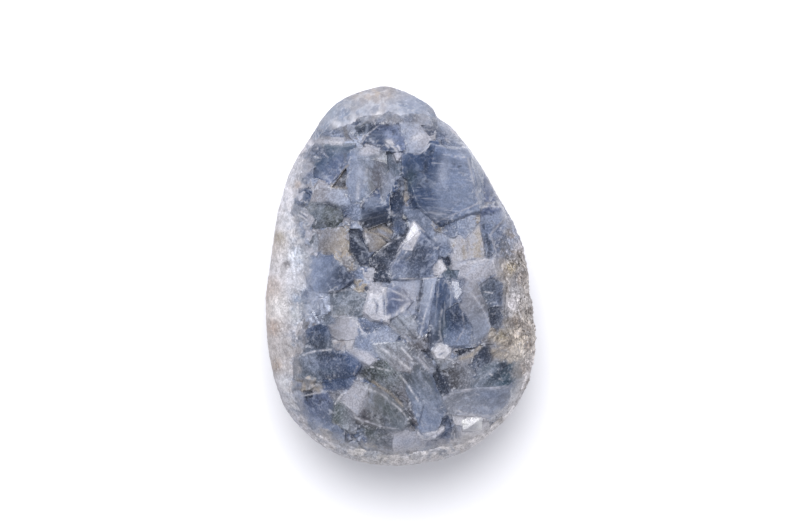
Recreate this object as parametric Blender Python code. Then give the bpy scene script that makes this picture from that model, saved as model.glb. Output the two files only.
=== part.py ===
# Celestite cluster ground to an egg: pale matrix rock that carries a crust of grown-together blue crystals.
# Metres, +Z up. The egg lies on its back on a small flat spot, with its crystals facing +Z and its narrow
# end towards +Y. The origin is the middle of the bounding box, on the flat spot's plane.

import math
import random

import bmesh
import bpy
import numpy as np
from mathutils import Vector

MM = 0.001

# Driving dimensions
LENGTH = 110 * MM
WIDTH = 78 * MM
BELLY_HEIGHT = 28 * MM  # height of the widest contour over the flat spot
FRONT_RISE = 25 * MM  # from the widest contour up to the top of the ground front
BACK_DROP = 29.2 * MM  # from the widest contour down to the bottom of the uncut back
FRONT_ROUNDNESS = 2.4  # 2 is an ellipse, and more is flatter on top with a rounder shoulder
BACK_ROUNDNESS = 2.2
BELLY = Vector((0.5 * MM, -6.0 * MM))  # plan position of the thickest part, over the flat spot

CRUST_DEPTH = 7.0 * MM  # from the ground front down to the bottom of the crust, over the belly
BED_SPREAD = 0.986  # how far down its own dome the crust's bottom reaches at the egg's side
CRUST_FLOOR = 1.4 * MM  # from the ground front down to the massive layer that the crystals stand on
THINNEST_CRUST = 2.5 * MM
ROOT_DEPTH = 5.0 * MM  # how far a crystal reaches down into the massive layer
ROOT_SPREAD = 1.05  # how much wider a crystal is at its root than where its bevels end
CROWN_SHARES = (0.8, 0.94)  # smallest and largest crown facet, as a share of the outline
CROWN_SHIFTS = (0.2, 0.8)  # how far a crown moves off the middle, as a share of the bevel's width
BEVEL_STEEPNESS = 1.3
BEVEL_LEAST = 0.15
BEVEL_DROPS = (1.5 * MM, 4.5 * MM)
CREASE_ANGLE = math.radians(1)  # facets closer to level than this become one
SHARP_ANGLE = math.radians(32)
FOLLOWING = 0.8  # how far a crystal's crown follows the slope of the ground front
CHANCE_LEAN = 0.07  # largest chance slope of a crown
JOINT_GAP = 0.3 * MM  # clearance between the crust and the matrix that holds it
STEEP_GAP = 3.0  # how much wider that clearance is under the crust's border, where the bottom is steep
MERGE = 0.01 * MM  # corners closer than this become one
CLEAR = 12 * MM  # how far cutters reach past the surface that they cut

AROUND = 64  # points round a contour
FRONT_RINGS = 8
BACK_RINGS = 9
CRUST_RINGS = 8

# Plan outline of the egg in mm, clockwise from the narrow end
EGG_OUTLINE = [
    (-5, 55.2), (0, 54), (5, 51.8), (9, 49), (10.7, 46.2), (15, 42.9), (20, 36.8), (24.5, 30),
    (28.5, 22.5), (32.6, 15), (35.2, 8), (36.7, 0), (37.9, -10), (38.9, -18.5), (38, -25),
    (36.4, -32), (32.5, -39), (26.5, -45), (19, -50.4), (10, -53.4), (-1, -54.8), (-10, -54),
    (-19, -51.2), (-26.5, -46.2), (-33.2, -38.5), (-36.8, -29.5), (-38.6, -20), (-39.1, -9),
    (-38.4, 0), (-37, 10), (-35, 21), (-31.9, 31), (-27.4, 38.4), (-20.6, 48.4), (-13.5, 53.2),
]  # fmt: skip

# Plan outline of the crystal field in mm, clockwise from the narrow end. It leaves the egg's outline between
# its fourth and its eighth point, where the grinding cut through the crystals themselves
CRUST_OUTLINE = [
    (-2, 45.5), (8, 45.2), (14, 42.4), (18.6, 38.6), (23.5, 34), (27, 28.5), (30, 23), (31, 18.5),
    (30.2, 8), (29, 1), (30.5, -6), (31, -14), (34.5, -26), (32.6, -36), (26, -43.5), (16, -48.2), (0, -51),
    (-16, -48.5), (-28, -40), (-31, -27), (-28, -13), (-27.5, 2), (-30.2, 16), (-28.4, 30),
    (-26.4, 36.2), (-23, 40.6), (-17, 43), (-10, 45),
]  # fmt: skip

# Crystals: name, rise over the ground front in mm, extra lean (slope along x, slope along y),
# crown (its share of the outline, its shift in mm along x and y, or VARIED) and the plan outline in mm
VARIED = None
CRYSTALS = [
    ("fan", 0.2, (0.1, -0.15), VARIED,
     [(-10.2, 37.5), (-6.8, 42.8), (-2.5, 43.1), (0.4, 41), (0.4, 36), (-5.8, 34.6)]),
    ("fan_tip", -0.4, (0.2, 0.1), VARIED,
     [(-12.1, 34.1), (-9.9, 37.6), (-7.2, 37), (-5.4, 35), (-8.8, 33.7)]),
    ("dark_tooth", -0.6, (0, 0), VARIED,
     [(-12.6, 40.1), (-12.5, 41.7), (-8.4, 43.4), (-7.6, 42), (-9.6, 40.1)]),
    ("left_tooth", -0.3, (0, 0.1), VARIED,
     [(-22.5, 40.7), (-17.3, 41.8), (-16.4, 39.1), (-20.2, 37.5), (-22.6, 38.4)]),
    ("left_shard", -0.2, (0, -0.1), VARIED,
     [(-26.2, 34.8), (-24.9, 37.1), (-21.4, 36.5), (-21, 33.6), (-25.6, 33.2)]),
    ("left_blue", 0.5, (0.15, 0.1), VARIED,
     [(-21.4, 36.4), (-14.1, 36), (-14.8, 31.6), (-20.1, 26.6), (-24.4, 27.7), (-24.7, 30.4)]),
    ("tall_milky", 0.9, (-0.1, 0), VARIED,
     [(-14.6, 33.7), (-4.7, 35), (-4.1, 29.1), (-7.3, 23.2), (-11.6, 18.6), (-15.1, 20)]),
    ("tall_blue", 0.3, (0.12, -0.1), VARIED,
     [(-11.8, 19), (-5.4, 25.9), (-2.2, 24.6), (-3.5, 14.8), (-9.5, 13.1)]),
    ("pale_tip", 1.2, (-0.2, 0.1), VARIED,
     [(-5.1, 28), (-3.2, 28.4), (-2, 27.1), (-2.2, 24), (-4.3, 22.1)]),
    ("dark_column", -1.2, (0.2, 0), VARIED, [(-3.1, 23.9), (0.2, 23.3), (0.8, 14.2), (-2.9, 13.5)]),
    ("speckled_column", -0.8, (0, 0), VARIED, [(-4.1, 35), (0.3, 34.5), (0.2, 28.2), (-3.1, 27.8)]),
    ("white_block", 1.3, (0.1, 0.12), VARIED,
     [(0.7, 42.2), (5.1, 42.4), (8.7, 38.9), (7.5, 36.8), (5, 34.8), (1.8, 34.6)]),
    ("notch_blue", -0.8, (0.1, 0.1), VARIED, [(5.7, 42.6), (9.7, 43.8), (9.8, 40.3), (8.2, 39.4)]),
    ("shoulder_grey", 0.1, (0, 0), VARIED,
     [(10.3, 44.1), (13.3, 42.8), (17.4, 37.8), (17.3, 35.3), (12.9, 36.1), (10, 39)]),
    ("window_dark", 0.3, (-0.15, 0.1), VARIED,
     [(0.4, 29.1), (0.8, 33.6), (8.1, 37.7), (10.3, 37.4), (8.5, 31.2), (2.7, 27.2)]),
    ("window", 1.4, (0.06, 0.04), (0.88, 0, 0),
     [(3, 26.1), (10.5, 36.1), (18.4, 33.6), (20.7, 25.5), (21.7, 19), (11.5, 14.8), (4.8, 19.8)]),
    ("window_edge", 0.4, (0.1, 0), VARIED,
     [(19, 34.1), (20.7, 33.2), (22.4, 26.6), (22.6, 20.1), (20.8, 20.5)]),
    ("edge_blue", -0.1, (0, 0), VARIED,
     [(22, 34.5), (25, 31), (28, 26), (28.9, 21.3), (23.3, 21.2), (22.8, 27.6)]),
    ("edge_dark", 0.4, (0.05, 0), VARIED,
     [(22.6, 19.8), (29.1, 19.4), (29.1, 16.6), (27.4, 15.1), (22.5, 15.3)]),
    ("edge_column", -0.4, (0.1, 0), VARIED, [(22.3, 14.5), (25.4, 14.3), (25.8, 5), (23.4, 4.8)]),
    ("speckled_band", 0.4, (0.15, 0.1), VARIED,
     [(1.2, 18), (5.7, 18), (9.5, 13.6), (9, 10.5), (5.4, 13)]),
    ("bright_chip", 1.5, (0.5, 0.22), (0.9, 0, 0), [(0, 7.5), (3.8, 14.2), (5.5, 12.1), (3.4, 7.2)]),
    ("pyramid", 1.6, (0, -0.1), (0.35, 1.5, 2.5),
     [(5.5, 12), (9.9, 7.8), (9, 0.4), (-3.3, -0.3), (-2.3, 3), (0, 7.2)]),
    ("rosette", 0.8, (0, 0), VARIED,
     [(8.6, 2.2), (9.4, 3.9), (10.9, 3.9), (11.9, 2.1), (10.7, 1), (9.2, 1.1)]),
    ("knob_teal", 0.0, (0, 0), VARIED,
     [(12.1, 12.7), (12.3, 15.6), (16, 16), (16.4, 12.7), (14.8, 11.4)]),
    ("knob_grey", 0.2, (0, 0), VARIED,
     [(16.4, 12.9), (16.6, 16.2), (20.2, 16.6), (20.5, 13.7), (18, 11.4)]),
    ("knob_pale", -0.2, (0, 0), VARIED,
     [(9.4, 10.5), (10, 12.6), (13.1, 11.7), (13.7, 9.6), (11.3, 9)]),
    ("knob_dark", 0.2, (0, 0), VARIED, [(10.2, 7.2), (10.5, 8.8), (12.7, 9), (13.7, 7.6), (12.3, 5.8)]),
    ("grained_block", 0.2, (0, -0.1), VARIED, [(16.6, 11.3), (21.9, 13.3), (23.2, 5.2), (15, 4.4)]),
    ("ledge", 0.9, (0, 0.1), VARIED, [(14.3, 3.4), (26, 4.6), (27.1, 0.5), (21.6, -1.6), (16.3, 0.1)]),
    ("small_dark", -0.5, (0, 0), VARIED, [(10.2, 5.3), (13.1, 5.9), (14.4, 3.2), (11.9, 2.4)]),
    ("teal_shelf", -0.4, (0, 0), VARIED,
     [(10.9, 0.9), (11.7, 2.2), (16.4, 1.7), (15.8, -0.6), (12.9, -1)]),
    ("striped_clear", 0.9, (-0.2, 0.1), VARIED,
     [(-28.9, 16.7), (-27.9, 19), (-24.3, 16.9), (-25.7, 14.9)]),
    ("left_green", 0.2, (0.1, 0.1), VARIED,
     [(-26.1, 19.8), (-18, 19.2), (-16.1, 17.1), (-19, 13.1), (-25.1, 13.3)]),
    ("left_ring", -0.3, (0, 0), VARIED,
     [(-25.7, 9.2), (-24.7, 11.7), (-23.1, 11.9), (-22.7, 9.2), (-24.1, 6.9)]),
    ("left_grey", -0.5, (0.05, 0), VARIED,
     [(-22.7, 12.3), (-16.5, 14.2), (-14.9, 13.4), (-14.9, 7.8), (-17.4, 6.3), (-22.3, 6.9)]),
    ("dark_wedge", -0.9, (0.1, -0.1), VARIED,
     [(-14.7, 13.4), (-11.2, 13.4), (-8.9, 6.5), (-9.1, 2.6), (-12, 2.8), (-14.7, 7.4)]),
    ("dark_blade", 0.2, (0.3, -0.22), (0.9, 0, 0),
     [(-8.2, 5.7), (-1, 11.7), (0.2, 8.2), (-3.5, -0.3), (-6.4, -0.7), (-8.9, 2.2)]),
    ("sunk_facet", -2.8, (-0.3, 0.4), VARIED, [(-9.5, 12.5), (-2.7, 10.2), (-6.8, 6.7), (-8.9, 6.7)]),
    ("beige_wedge", -1.2, (0, 0.2), VARIED, [(-9.5, 13), (-4.5, 14.8), (-1.8, 12.3), (-2.9, 10.1)]),
    ("left_main", 0.8, (0.12, 0.04), VARIED,
     [(-24.8, 4.8), (-20.3, 4.9), (-16.4, 3), (-14.2, -1.1), (-18.3, -3.7), (-23.8, -4), (-25.8, -0.9)]),
    ("twin_dark", 0.0, (0, 0), VARIED,
     [(-13.5, 0.7), (-12.6, 2), (-10.6, 1.9), (-10.1, -0.6), (-12.5, -0.8)]),
    ("twin_pale", 0.3, (0, 0), VARIED,
     [(-10.4, 1.5), (-7.7, 1.4), (-7.1, -0.1), (-8.7, -1.4), (-10.5, -0.7)]),
    ("green_step", -0.2, (0.1, -0.1), VARIED,
     [(-20.1, -4.1), (-14.3, -3), (-10, -5.3), (-11.2, -10.8), (-18.9, -11.1)]),
    ("shell_white", 3.0, (-0.1, 0.05), (0.6, -0.8, 0.2),
     [(-9.6, -9.8), (-8.1, -5.2), (-5, -4.1), (-4.3, -12.2), (-7.5, -11.6)]),
    ("shell_blue", 2.4, (0.05, -0.1), (0.7, 0, 0.8),
     [(-5.8, -4.3), (-2.9, -3.5), (0, -4.5), (2.6, -7), (0, -9.9), (-4.8, -12)]),
    ("pale_pane", -0.2, (-0.1, 0.05), (0.92, 0, 0),
     [(-6.2, -1.1), (5.3, -1), (4.1, -9.9), (1.3, -11.9), (-2, -8.5)]),
    ("pane_stripe", 0.5, (-0.15, 0), (0.85, 0, 0),
     [(6.6, -0.9), (9.4, -0.9), (8.2, -6.6), (6.2, -17.2), (4.4, -15.4)]),
    ("deep_pane", 0.2, (0.1, 0.05), (0.88, 0, 0),
     [(9.5, -0.9), (13, -0.7), (16.3, -7.2), (12.4, -18.9), (6.8, -19.8), (6.7, -11.4)]),
    ("smoky_pane", 0.6, (0.1, -0.06), VARIED,
     [(16.1, -7.2), (19.2, -13.9), (18.5, -18.5), (12.6, -18.9), (12.5, -9.5)]),
    ("white_chip", 1.6, (0.1, 0.2), (0.6, 0, 0),
     [(13.1, -1.1), (15.8, -2), (16.5, -4.3), (15.5, -5.6), (13.6, -3.7)]),
    ("blue_bead", 0.2, (0, 0), VARIED, [(16.1, -1.2), (18, -0.3), (17.8, -2.4), (16.5, -3.3)]),
    ("grey_face", 1.0, (-0.08, 0.08), (0.9, 0, 0),
     [(18.1, -0.6), (21.4, -2.6), (25.1, -14.2), (21.2, -18.5), (18.8, -17.8), (16.6, -4.7)]),
    ("right_round", 0.5, (0.1, 0), VARIED,
     [(21.4, -2.7), (25.4, -0.2), (28.8, -1.9), (28.5, -8), (24.3, -8.5)]),
    ("right_black", -0.6, (0, 0), VARIED,
     [(24.2, -8.9), (27.4, -8.4), (29, -11.6), (27.4, -14.8), (25.4, -14.3)]),
    ("white_knob", 2.0, (0, 0), (0.6, 0, 0),
     [(9.3, -20.7), (10.9, -19.2), (13, -19.4), (13.7, -21.2), (12.6, -22.9), (10.3, -22.9)]),
    ("green_teal", 0.0, (-0.05, 0), VARIED,
     [(-12.7, -12), (-5.2, -12.8), (-3.9, -14.7), (-9.3, -16), (-11.8, -14.1)]),
    ("pale_disc", 0.8, (-0.05, 0.1), VARIED,
     [(-19.1, -14.5), (-15.4, -11.8), (-12.3, -12.2), (-11.8, -16.8), (-16.4, -17.4), (-18.7, -16.3)]),
    ("pale_slab", 0.3, (0, 0.05), VARIED,
     [(-11.8, -14.5), (-4.5, -15.2), (-1.2, -16.6), (-2.9, -19.1), (-8.1, -23), (-12.2, -20.7)]),
    ("mauve_chip", -0.6, (0, 0), VARIED,
     [(-19.4, -17.5), (-13, -17.6), (-13.2, -20.3), (-18.6, -20.3)]),
    ("striped_slope", 0.7, (0.2, 0.12), VARIED,
     [(-4.5, -12.9), (1.1, -9.5), (4.8, -14.7), (7.1, -19.5), (5.2, -20.4), (-1, -16.4)]),
    ("striped_white", 1.2, (0.1, -0.05), (0.8, 0, 0),
     [(-7.1, -18.9), (0.5, -18.8), (3.9, -22.9), (2.3, -26), (-1, -25.8), (-5.8, -22)]),
    ("leaf_top", 0.3, (-0.05, 0.05), VARIED,
     [(-25.8, -16), (-22.3, -14.2), (-18.7, -16.3), (-19.3, -20.2), (-27.8, -20.5)]),
    ("leaf_main", 0.9, (0, 0), (0.86, 0, 0),
     [(-28.2, -22.8), (-25.2, -20.9), (-15.4, -20.9), (-11.5, -24.3), (-14.5, -28.4), (-28.8, -28.2)]),
    ("leaf_low", 0.1, (0, -0.1), VARIED,
     [(-21.9, -28.8), (-13.4, -28.1), (-13.8, -31), (-20.8, -32.1)]),
    ("lens", 0.9, (0.1, 0.1), VARIED,
     [(-14.7, -20.3), (-9.1, -21.8), (-7.7, -23.3), (-8.9, -24.2), (-12.9, -22.4)]),
    ("corner_black", -1.0, (0, 0), VARIED,
     [(-27.8, -32.2), (-24.8, -32.2), (-24.6, -34.1), (-26.8, -34.6)]),
    ("corner_blue", 0.6, (0, -0.05), VARIED,
     [(-26.4, -34.6), (-21.4, -32.5), (-19.1, -36.8), (-16.9, -45.4), (-24.6, -43.2), (-28.5, -38.9)]),
    ("front_block", 2.0, (0.02, -0.02), (0.95, 0, 0),
     [(-10, -30.7), (-5.2, -32.4), (0, -36.9), (2.3, -39.9), (-0.6, -42.5), (-4.9, -42.1), (-12, -39.8)]),
    ("green_prism", 0.9, (0.1, 0.1), (0.8, -0.3, 0.3),
     [(-12.2, -26.9), (-8.7, -24.3), (-4.4, -24), (0.5, -28.4), (5.6, -36.2), (4.4, -40.6), (-3.3, -33.7)]),
    ("long_prism", 1.3, (0.08, 0.06), (0.82, -0.2, 0.4),
     [(0, -27), (4.8, -23.3), (8.6, -27.2), (12.3, -36.1), (11.4, -42.7), (7.4, -44.5), (5, -42.2)]),
    ("ridge", 1.0, (0.2, 0.1), VARIED, [(1.7, -20.3), (4, -20.8), (8.9, -26.4), (8, -27), (4, -24.1)]),
    ("dark_prism", -0.7, (0, 0), VARIED,
     [(5.4, -20.6), (9.4, -20.7), (13.5, -32.4), (11.6, -34), (8.3, -26.1)]),
    ("brown_block", 0.1, (0, 0), VARIED,
     [(11.1, -24.4), (15.4, -23.6), (19.7, -25), (20.7, -27.4), (19, -31.6), (14.1, -32)]),
    ("dark_corner", -0.5, (0, 0), VARIED,
     [(15, -20.9), (23.2, -19.2), (25.4, -21.8), (24.8, -24.1), (21.1, -26.8), (19.3, -23.5)]),
    ("right_teal", 0.5, (0, 0.05), VARIED,
     [(19.9, -27.9), (23.2, -25.3), (30.8, -24.3), (33.5, -27.8), (30.5, -30.7), (20.1, -31.3)]),
    ("fan_low", 1.6, (0.05, 0.1), (0.8, 0.8, -0.5),
     [(11.4, -34), (15.4, -32.1), (30.6, -31.1), (30.4, -36.2), (25, -40), (12.6, -37.8)]),
    ("pale_dome", 0.8, (-0.1, -0.1), (0.7, -0.5, 0.6),
     [(14.9, -38.9), (24.2, -39.7), (25.2, -42.9), (21.3, -46), (16.8, -45.6)]),
    ("blue_wedge", -0.6, (0, 0), VARIED,
     [(11.8, -39.4), (14.5, -39), (14.8, -43.3), (13.9, -46.2), (9.4, -46.3), (11.7, -42.8)]),
    ("green_foot", 0.0, (0, -0.05), VARIED,
     [(-10.7, -41.5), (-4.9, -42.9), (-0.8, -45.4), (-1.6, -48.9), (-8.4, -46.9)]),
    ("left_slab", -0.2, (0, 0), VARIED,
     [(-23.4, 25), (-16.5, 24.3), (-14.9, 20.4), (-19.4, 20.3), (-24.4, 21.5)]),
    ("low_blue", -0.2, (0, 0), VARIED, [(-16.7, 20), (-12.2, 19.6), (-11.5, 16.3), (-15.9, 16.3)]),
    ("blue_strip", 0.0, (0, 0), VARIED, [(15, -41.8), (17.4, -42.3), (17.1, -46.5), (15.3, -45.8)]),
    ("block_side", 1.0, (-0.3, -0.1), VARIED,
     [(-17.9, -36.2), (-15.3, -35.9), (-12.5, -40.3), (-13.3, -43.3), (-15.8, -42.2), (-18.3, -39.6)]),
    ("block_bevel", 1.9, (0.5, 0.1), (0.95, 0, 0),
     [(-15.1, -31.7), (-12.7, -29.7), (-9.9, -30.7), (-12, -38.8), (-14.9, -36.2)]),
    ("pale_foot", 0.3, (0, 0), VARIED,
     [(-1.4, -43.3), (4.6, -43.5), (7.2, -46), (6.1, -48.7), (-1, -49.1)]),
]  # fmt: skip

# Natural pits that the grinding left open in the rim: plan position, radius and depth in mm
RIM_PITS = [
    ((33.4, 4.2), 1.5), ((27, -42.6), 1.4), ((-32.8, 3.6), 1.3), ((33.4, -15), 1.2), ((-11, -53), 1.2),
]  # fmt: skip


def closed_curve(points, steps_each=8):
    """Points along a smooth closed curve through the given ones."""
    count = len(points)
    found = []
    for i in range(count):
        a, b, c, d = (np.array(points[(i + k) % count], float) for k in (-1, 0, 1, 2))
        for step in range(steps_each):
            t = step / steps_each
            spread = 2 * b + (c - a) * t + (2 * a - 5 * b + 4 * c - d) * t * t
            found.append((spread + (3 * b - a - 3 * c + d) * t**3) / 2)
    return np.array(found) * MM


def radial_table(curve):
    """Directions and distances of a curve's points, seen from the belly's middle."""
    away = curve - np.array(BELLY)
    angles = np.arctan2(away[:, 1], away[:, 0])
    order = np.argsort(angles)
    return angles[order], np.hypot(away[:, 0], away[:, 1])[order]


def reach(table, angle):
    """How far a contour lies from the belly's middle in one direction."""
    return float(np.interp(angle, table[0], table[1], period=2 * math.pi))


egg_curve = closed_curve(EGG_OUTLINE)
low, high = egg_curve.min(axis=0), egg_curve.max(axis=0)
egg_curve = (egg_curve - (low + high) / 2) * np.array([WIDTH, LENGTH]) / (high - low)
EGG = radial_table(egg_curve)
CRUST = radial_table(closed_curve(CRUST_OUTLINE))


def front_height(x, y, grow=0.0):
    """Height of the ground front over a plan position. grow moves the whole surface out."""
    away = Vector((x, y)) - BELLY
    share = min(away.length / (reach(EGG, math.atan2(away.y, away.x)) + grow), 1.0)
    return BELLY_HEIGHT + (FRONT_RISE + grow) * math.sqrt(1 - share**FRONT_ROUNDNESS)


def front_slope(x, y):
    """Slope of the ground front along x and along y."""
    step = 1 * MM
    along_x = front_height(x + step, y) - front_height(x - step, y)
    along_y = front_height(x, y + step) - front_height(x, y - step)
    return Vector((along_x, along_y)) / (2 * step)


def even_directions(curve):
    """Directions from the belly's middle to points spaced evenly along a closed curve."""
    closed = np.vstack([curve, curve[:1]])
    run = np.concatenate([[0], np.cumsum(np.hypot(*np.diff(closed, axis=0).T))])
    places = np.linspace(0, run[-1], AROUND, endpoint=False)
    away_x = np.interp(places, run, closed[:, 0]) - BELLY.x
    away_y = np.interp(places, run, closed[:, 1]) - BELLY.y
    return sorted(np.arctan2(away_y, away_x).tolist())


DIRECTIONS = even_directions(egg_curve)


def contour(table, share, height, grow=0.0):
    """A closed ring at a share of a contour's reach. height is a function of x and y, or a number."""
    ring = []
    for angle in DIRECTIONS:
        radius = (reach(table, angle) + grow) * share
        x = BELLY.x + radius * math.cos(angle)
        y = BELLY.y + radius * math.sin(angle)
        ring.append(Vector((x, y, height(x, y) if callable(height) else height)))
    return ring


def skin(name, rings, first_tip, last_tip):
    """A closed solid through rings of points, with a tip at each end, the upper one first."""
    mesh = bmesh.new()
    loops = [[mesh.verts.new(point) for point in ring] for ring in rings]
    for upper, lower in zip(loops, loops[1:]):
        for i in range(AROUND):
            j = (i + 1) % AROUND
            mesh.faces.new((upper[i], lower[i], lower[j], upper[j]))
    for tip_point, loop, flip in ((first_tip, loops[0], False), (last_tip, loops[-1], True)):
        tip = mesh.verts.new(tip_point)
        for i in range(AROUND):
            corners = (tip, loop[i], loop[(i + 1) % AROUND])
            mesh.faces.new(corners[::-1] if flip else corners)
    return finished(name, mesh)


def finished(name, mesh):
    """Turns a bmesh into an object in the scene, with its faces pointing out."""
    bmesh.ops.recalc_face_normals(mesh, faces=mesh.faces)
    data = bpy.data.meshes.new(name)
    mesh.to_mesh(data)
    mesh.free()
    made = bpy.data.objects.new(name, data)
    bpy.context.scene.collection.objects.link(made)
    return made


def combined(target, tools, operation):
    """Joins tools to the target or cuts them away in one Boolean, and removes the tools."""
    group = bpy.data.collections.new("tools")
    for tool in tools:
        group.objects.link(tool)
    modifier = target.modifiers.new("combine", "BOOLEAN")
    modifier.operation = operation
    modifier.solver = "EXACT"
    modifier.operand_type = "COLLECTION"
    modifier.collection = group
    bpy.context.view_layer.update()
    evaluated = target.evaluated_get(bpy.context.evaluated_depsgraph_get())
    mesh = bmesh.new()
    mesh.from_mesh(evaluated.to_mesh())
    target.modifiers.clear()
    bmesh.ops.remove_doubles(mesh, verts=mesh.verts, dist=MERGE)
    bmesh.ops.dissolve_degenerate(mesh, edges=mesh.edges, dist=MERGE)
    bmesh.ops.triangulate(mesh, faces=mesh.faces)
    mesh.to_mesh(target.data)
    mesh.free()
    for tool in tools:
        bpy.data.objects.remove(tool)
    bpy.data.collections.remove(group)


def egg_solid(name, grow=0.0, front=front_height):
    """The egg: its front and its rounder back, with no flat spot yet."""
    front_shares = [math.sin(math.pi / 2 * (k + 1) / FRONT_RINGS) for k in range(FRONT_RINGS)]
    back_shares = [math.sin(math.pi / 2 * (k + 1) / BACK_RINGS) for k in range(BACK_RINGS)]
    rings = [contour(EGG, share, lambda x, y: front(x, y, grow), grow) for share in front_shares]
    for share in reversed(back_shares):
        drop = (BACK_DROP + grow) * (1 - share**BACK_ROUNDNESS) ** (1 / BACK_ROUNDNESS)
        if drop or front is not front_height:
            rings.append(contour(EGG, share, BELLY_HEIGHT - drop, grow))
    top = Vector((*BELLY, front(*BELLY, grow)))
    bottom = Vector((*BELLY, BELLY_HEIGHT - BACK_DROP - grow))
    return skin(name, rings, top, bottom)


def cut_flat_spot(egg):
    """Grinds the lowest part of the back away level with the ground plane."""
    mesh = bmesh.new()
    mesh.from_mesh(egg.data)
    everything = [*mesh.verts, *mesh.edges, *mesh.faces]
    cut = bmesh.ops.bisect_plane(
        mesh, geom=everything, plane_co=(0, 0, 0), plane_no=(0, 0, 1), clear_inner=True
    )
    rim = [item for item in cut["geom_cut"] if isinstance(item, bmesh.types.BMEdge)]
    bmesh.ops.contextual_create(mesh, geom=rim)
    bmesh.ops.recalc_face_normals(mesh, faces=mesh.faces)
    mesh.to_mesh(egg.data)
    mesh.free()


def bed_height(x, y):
    """Height of the crust's bottom, a flatter dome than the front, so that the crust thins outwards."""
    away = Vector((x, y)) - BELLY
    share = min(away.length / reach(EGG, math.atan2(away.y, away.x)), 1.0)
    return BELLY_HEIGHT + FRONT_RISE * math.sqrt(1 - (BED_SPREAD * share) ** FRONT_ROUNDNESS) - CRUST_DEPTH


def crust_slab(name, top_gap, bottom_rise, grow):
    """A domed plate over the crystal field, from the crust's bottom up to top_gap below the ground front."""
    shares = [(k + 1) / CRUST_RINGS for k in range(CRUST_RINGS)]

    def top_height(x, y):
        return max(front_height(x, y) - top_gap, bed_height(x, y) + THINNEST_CRUST)

    rings = [contour(CRUST, s, top_height, grow) for s in shares]
    for s in reversed(shares):
        lift = bottom_rise * (1 + STEEP_GAP * s**8)
        rings.append(contour(CRUST, s, lambda x, y: bed_height(x, y) + lift, grow))
    top = Vector((*BELLY, front_height(*BELLY) - top_gap))
    bottom = Vector((*BELLY, bed_height(*BELLY) + bottom_rise))
    return skin(name, rings, top, bottom)


def varied_crown(chance, corners, middle):
    """A crown facet of chance size, moved off the middle of its crystal by chance."""
    size = sum((corner - middle).length for corner in corners) / len(corners)
    share = chance.uniform(*CROWN_SHARES)
    angle = chance.uniform(0, 2 * math.pi)
    shift = size * (1 - share) * chance.uniform(*CROWN_SHIFTS)
    return share, shift * math.cos(angle) / MM, shift * math.sin(angle) / MM


def crystal(name, rise, lean, crown, outline):
    """One crystal: a flat crown facet, bevel facets round it, and sides that widen into the root."""
    chance = random.Random(name)
    corners = [Vector(point) * MM for point in outline]
    middle = sum(corners, Vector((0, 0))) / len(corners)
    tilt = Vector((chance.uniform(-1, 1), chance.uniform(-1, 1))) * CHANCE_LEAN
    slope = front_slope(*middle) * FOLLOWING + Vector(lean) + tilt
    crown_height = front_height(*middle) + rise * MM
    share, shift_x, shift_y = crown or varied_crown(chance, corners, middle)
    bevel_drop = (BEVEL_STEEPNESS * (1 - share) + BEVEL_LEAST) * chance.uniform(*BEVEL_DROPS)
    mesh = bmesh.new()
    for corner in corners:
        away = corner - middle
        top = middle + away * share + Vector((shift_x, shift_y)) * MM
        root = middle + away * ROOT_SPREAD
        mesh.verts.new((*top, crown_height + slope.dot(top - middle)))
        mesh.verts.new((*corner, crown_height + slope.dot(away) - bevel_drop))
        mesh.verts.new((*root, crown_height - rise * MM - ROOT_DEPTH + slope.dot(root - middle) / 2))
    hull = bmesh.ops.convex_hull(mesh, input=mesh.verts)
    unused = [item for item in hull["geom_interior"] if isinstance(item, bmesh.types.BMVert)]
    bmesh.ops.delete(mesh, geom=unused, context="VERTS")
    bmesh.ops.dissolve_limit(mesh, angle_limit=CREASE_ANGLE, verts=mesh.verts, edges=mesh.edges)
    return finished(name, mesh)


def pit(name, place, radius):
    """A cutter for one natural pit in the ground rim, as deep as it is wide."""
    x, y = place[0] * MM, place[1] * MM
    mesh = bmesh.new()
    bmesh.ops.create_icosphere(mesh, subdivisions=1, radius=radius * MM)
    bmesh.ops.translate(mesh, verts=mesh.verts, vec=(x, y, front_height(x, y)))
    return finished(name, mesh)


def mineral(name, colour, roughness, transmission=0.0):
    material = bpy.data.materials.new(name)
    material.use_nodes = True
    shader = material.node_tree.nodes["Principled BSDF"]
    shader.inputs["Base Color"].default_value = (*colour, 1)
    shader.inputs["Roughness"].default_value = roughness
    shader.inputs["Metallic"].default_value = 0.0
    shader.inputs["Transmission Weight"].default_value = transmission
    material.diffuse_color = (*colour, 1)
    return material


def above_all(x, y, grow):
    return BELLY_HEIGHT + FRONT_RISE + CLEAR


def build_crust():
    """The crust: the massive layer with every crystal joined to it, cut clear of the matrix all round and
    ground flush with the egg's side where it reaches it."""
    crust = crust_slab("crystal_crust", CRUST_FLOOR, JOINT_GAP, -JOINT_GAP)
    combined(crust, [crystal(*values) for values in CRYSTALS], "UNION")
    surround = egg_solid("surround", JOINT_GAP)
    hollow = crust_slab("hollow", -CLEAR, JOINT_GAP, -JOINT_GAP)
    combined(surround, [hollow], "DIFFERENCE")
    combined(crust, [surround], "DIFFERENCE")
    combined(crust, [egg_solid("side", front=above_all)], "INTERSECT")
    return crust


def build_matrix():
    """The matrix: the ground egg with the hollow that holds the crust, and the open pits in its rim."""
    matrix = egg_solid("matrix")
    cut_flat_spot(matrix)
    cutters = [crust_slab("hollow", -CLEAR, 0.0, 0.0)]
    cutters += [pit(f"pit_{number}", place, radius) for number, (place, radius) in enumerate(RIM_PITS)]
    combined(matrix, cutters, "DIFFERENCE")
    return matrix


for old in list(bpy.data.objects):
    bpy.data.objects.remove(old)

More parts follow.
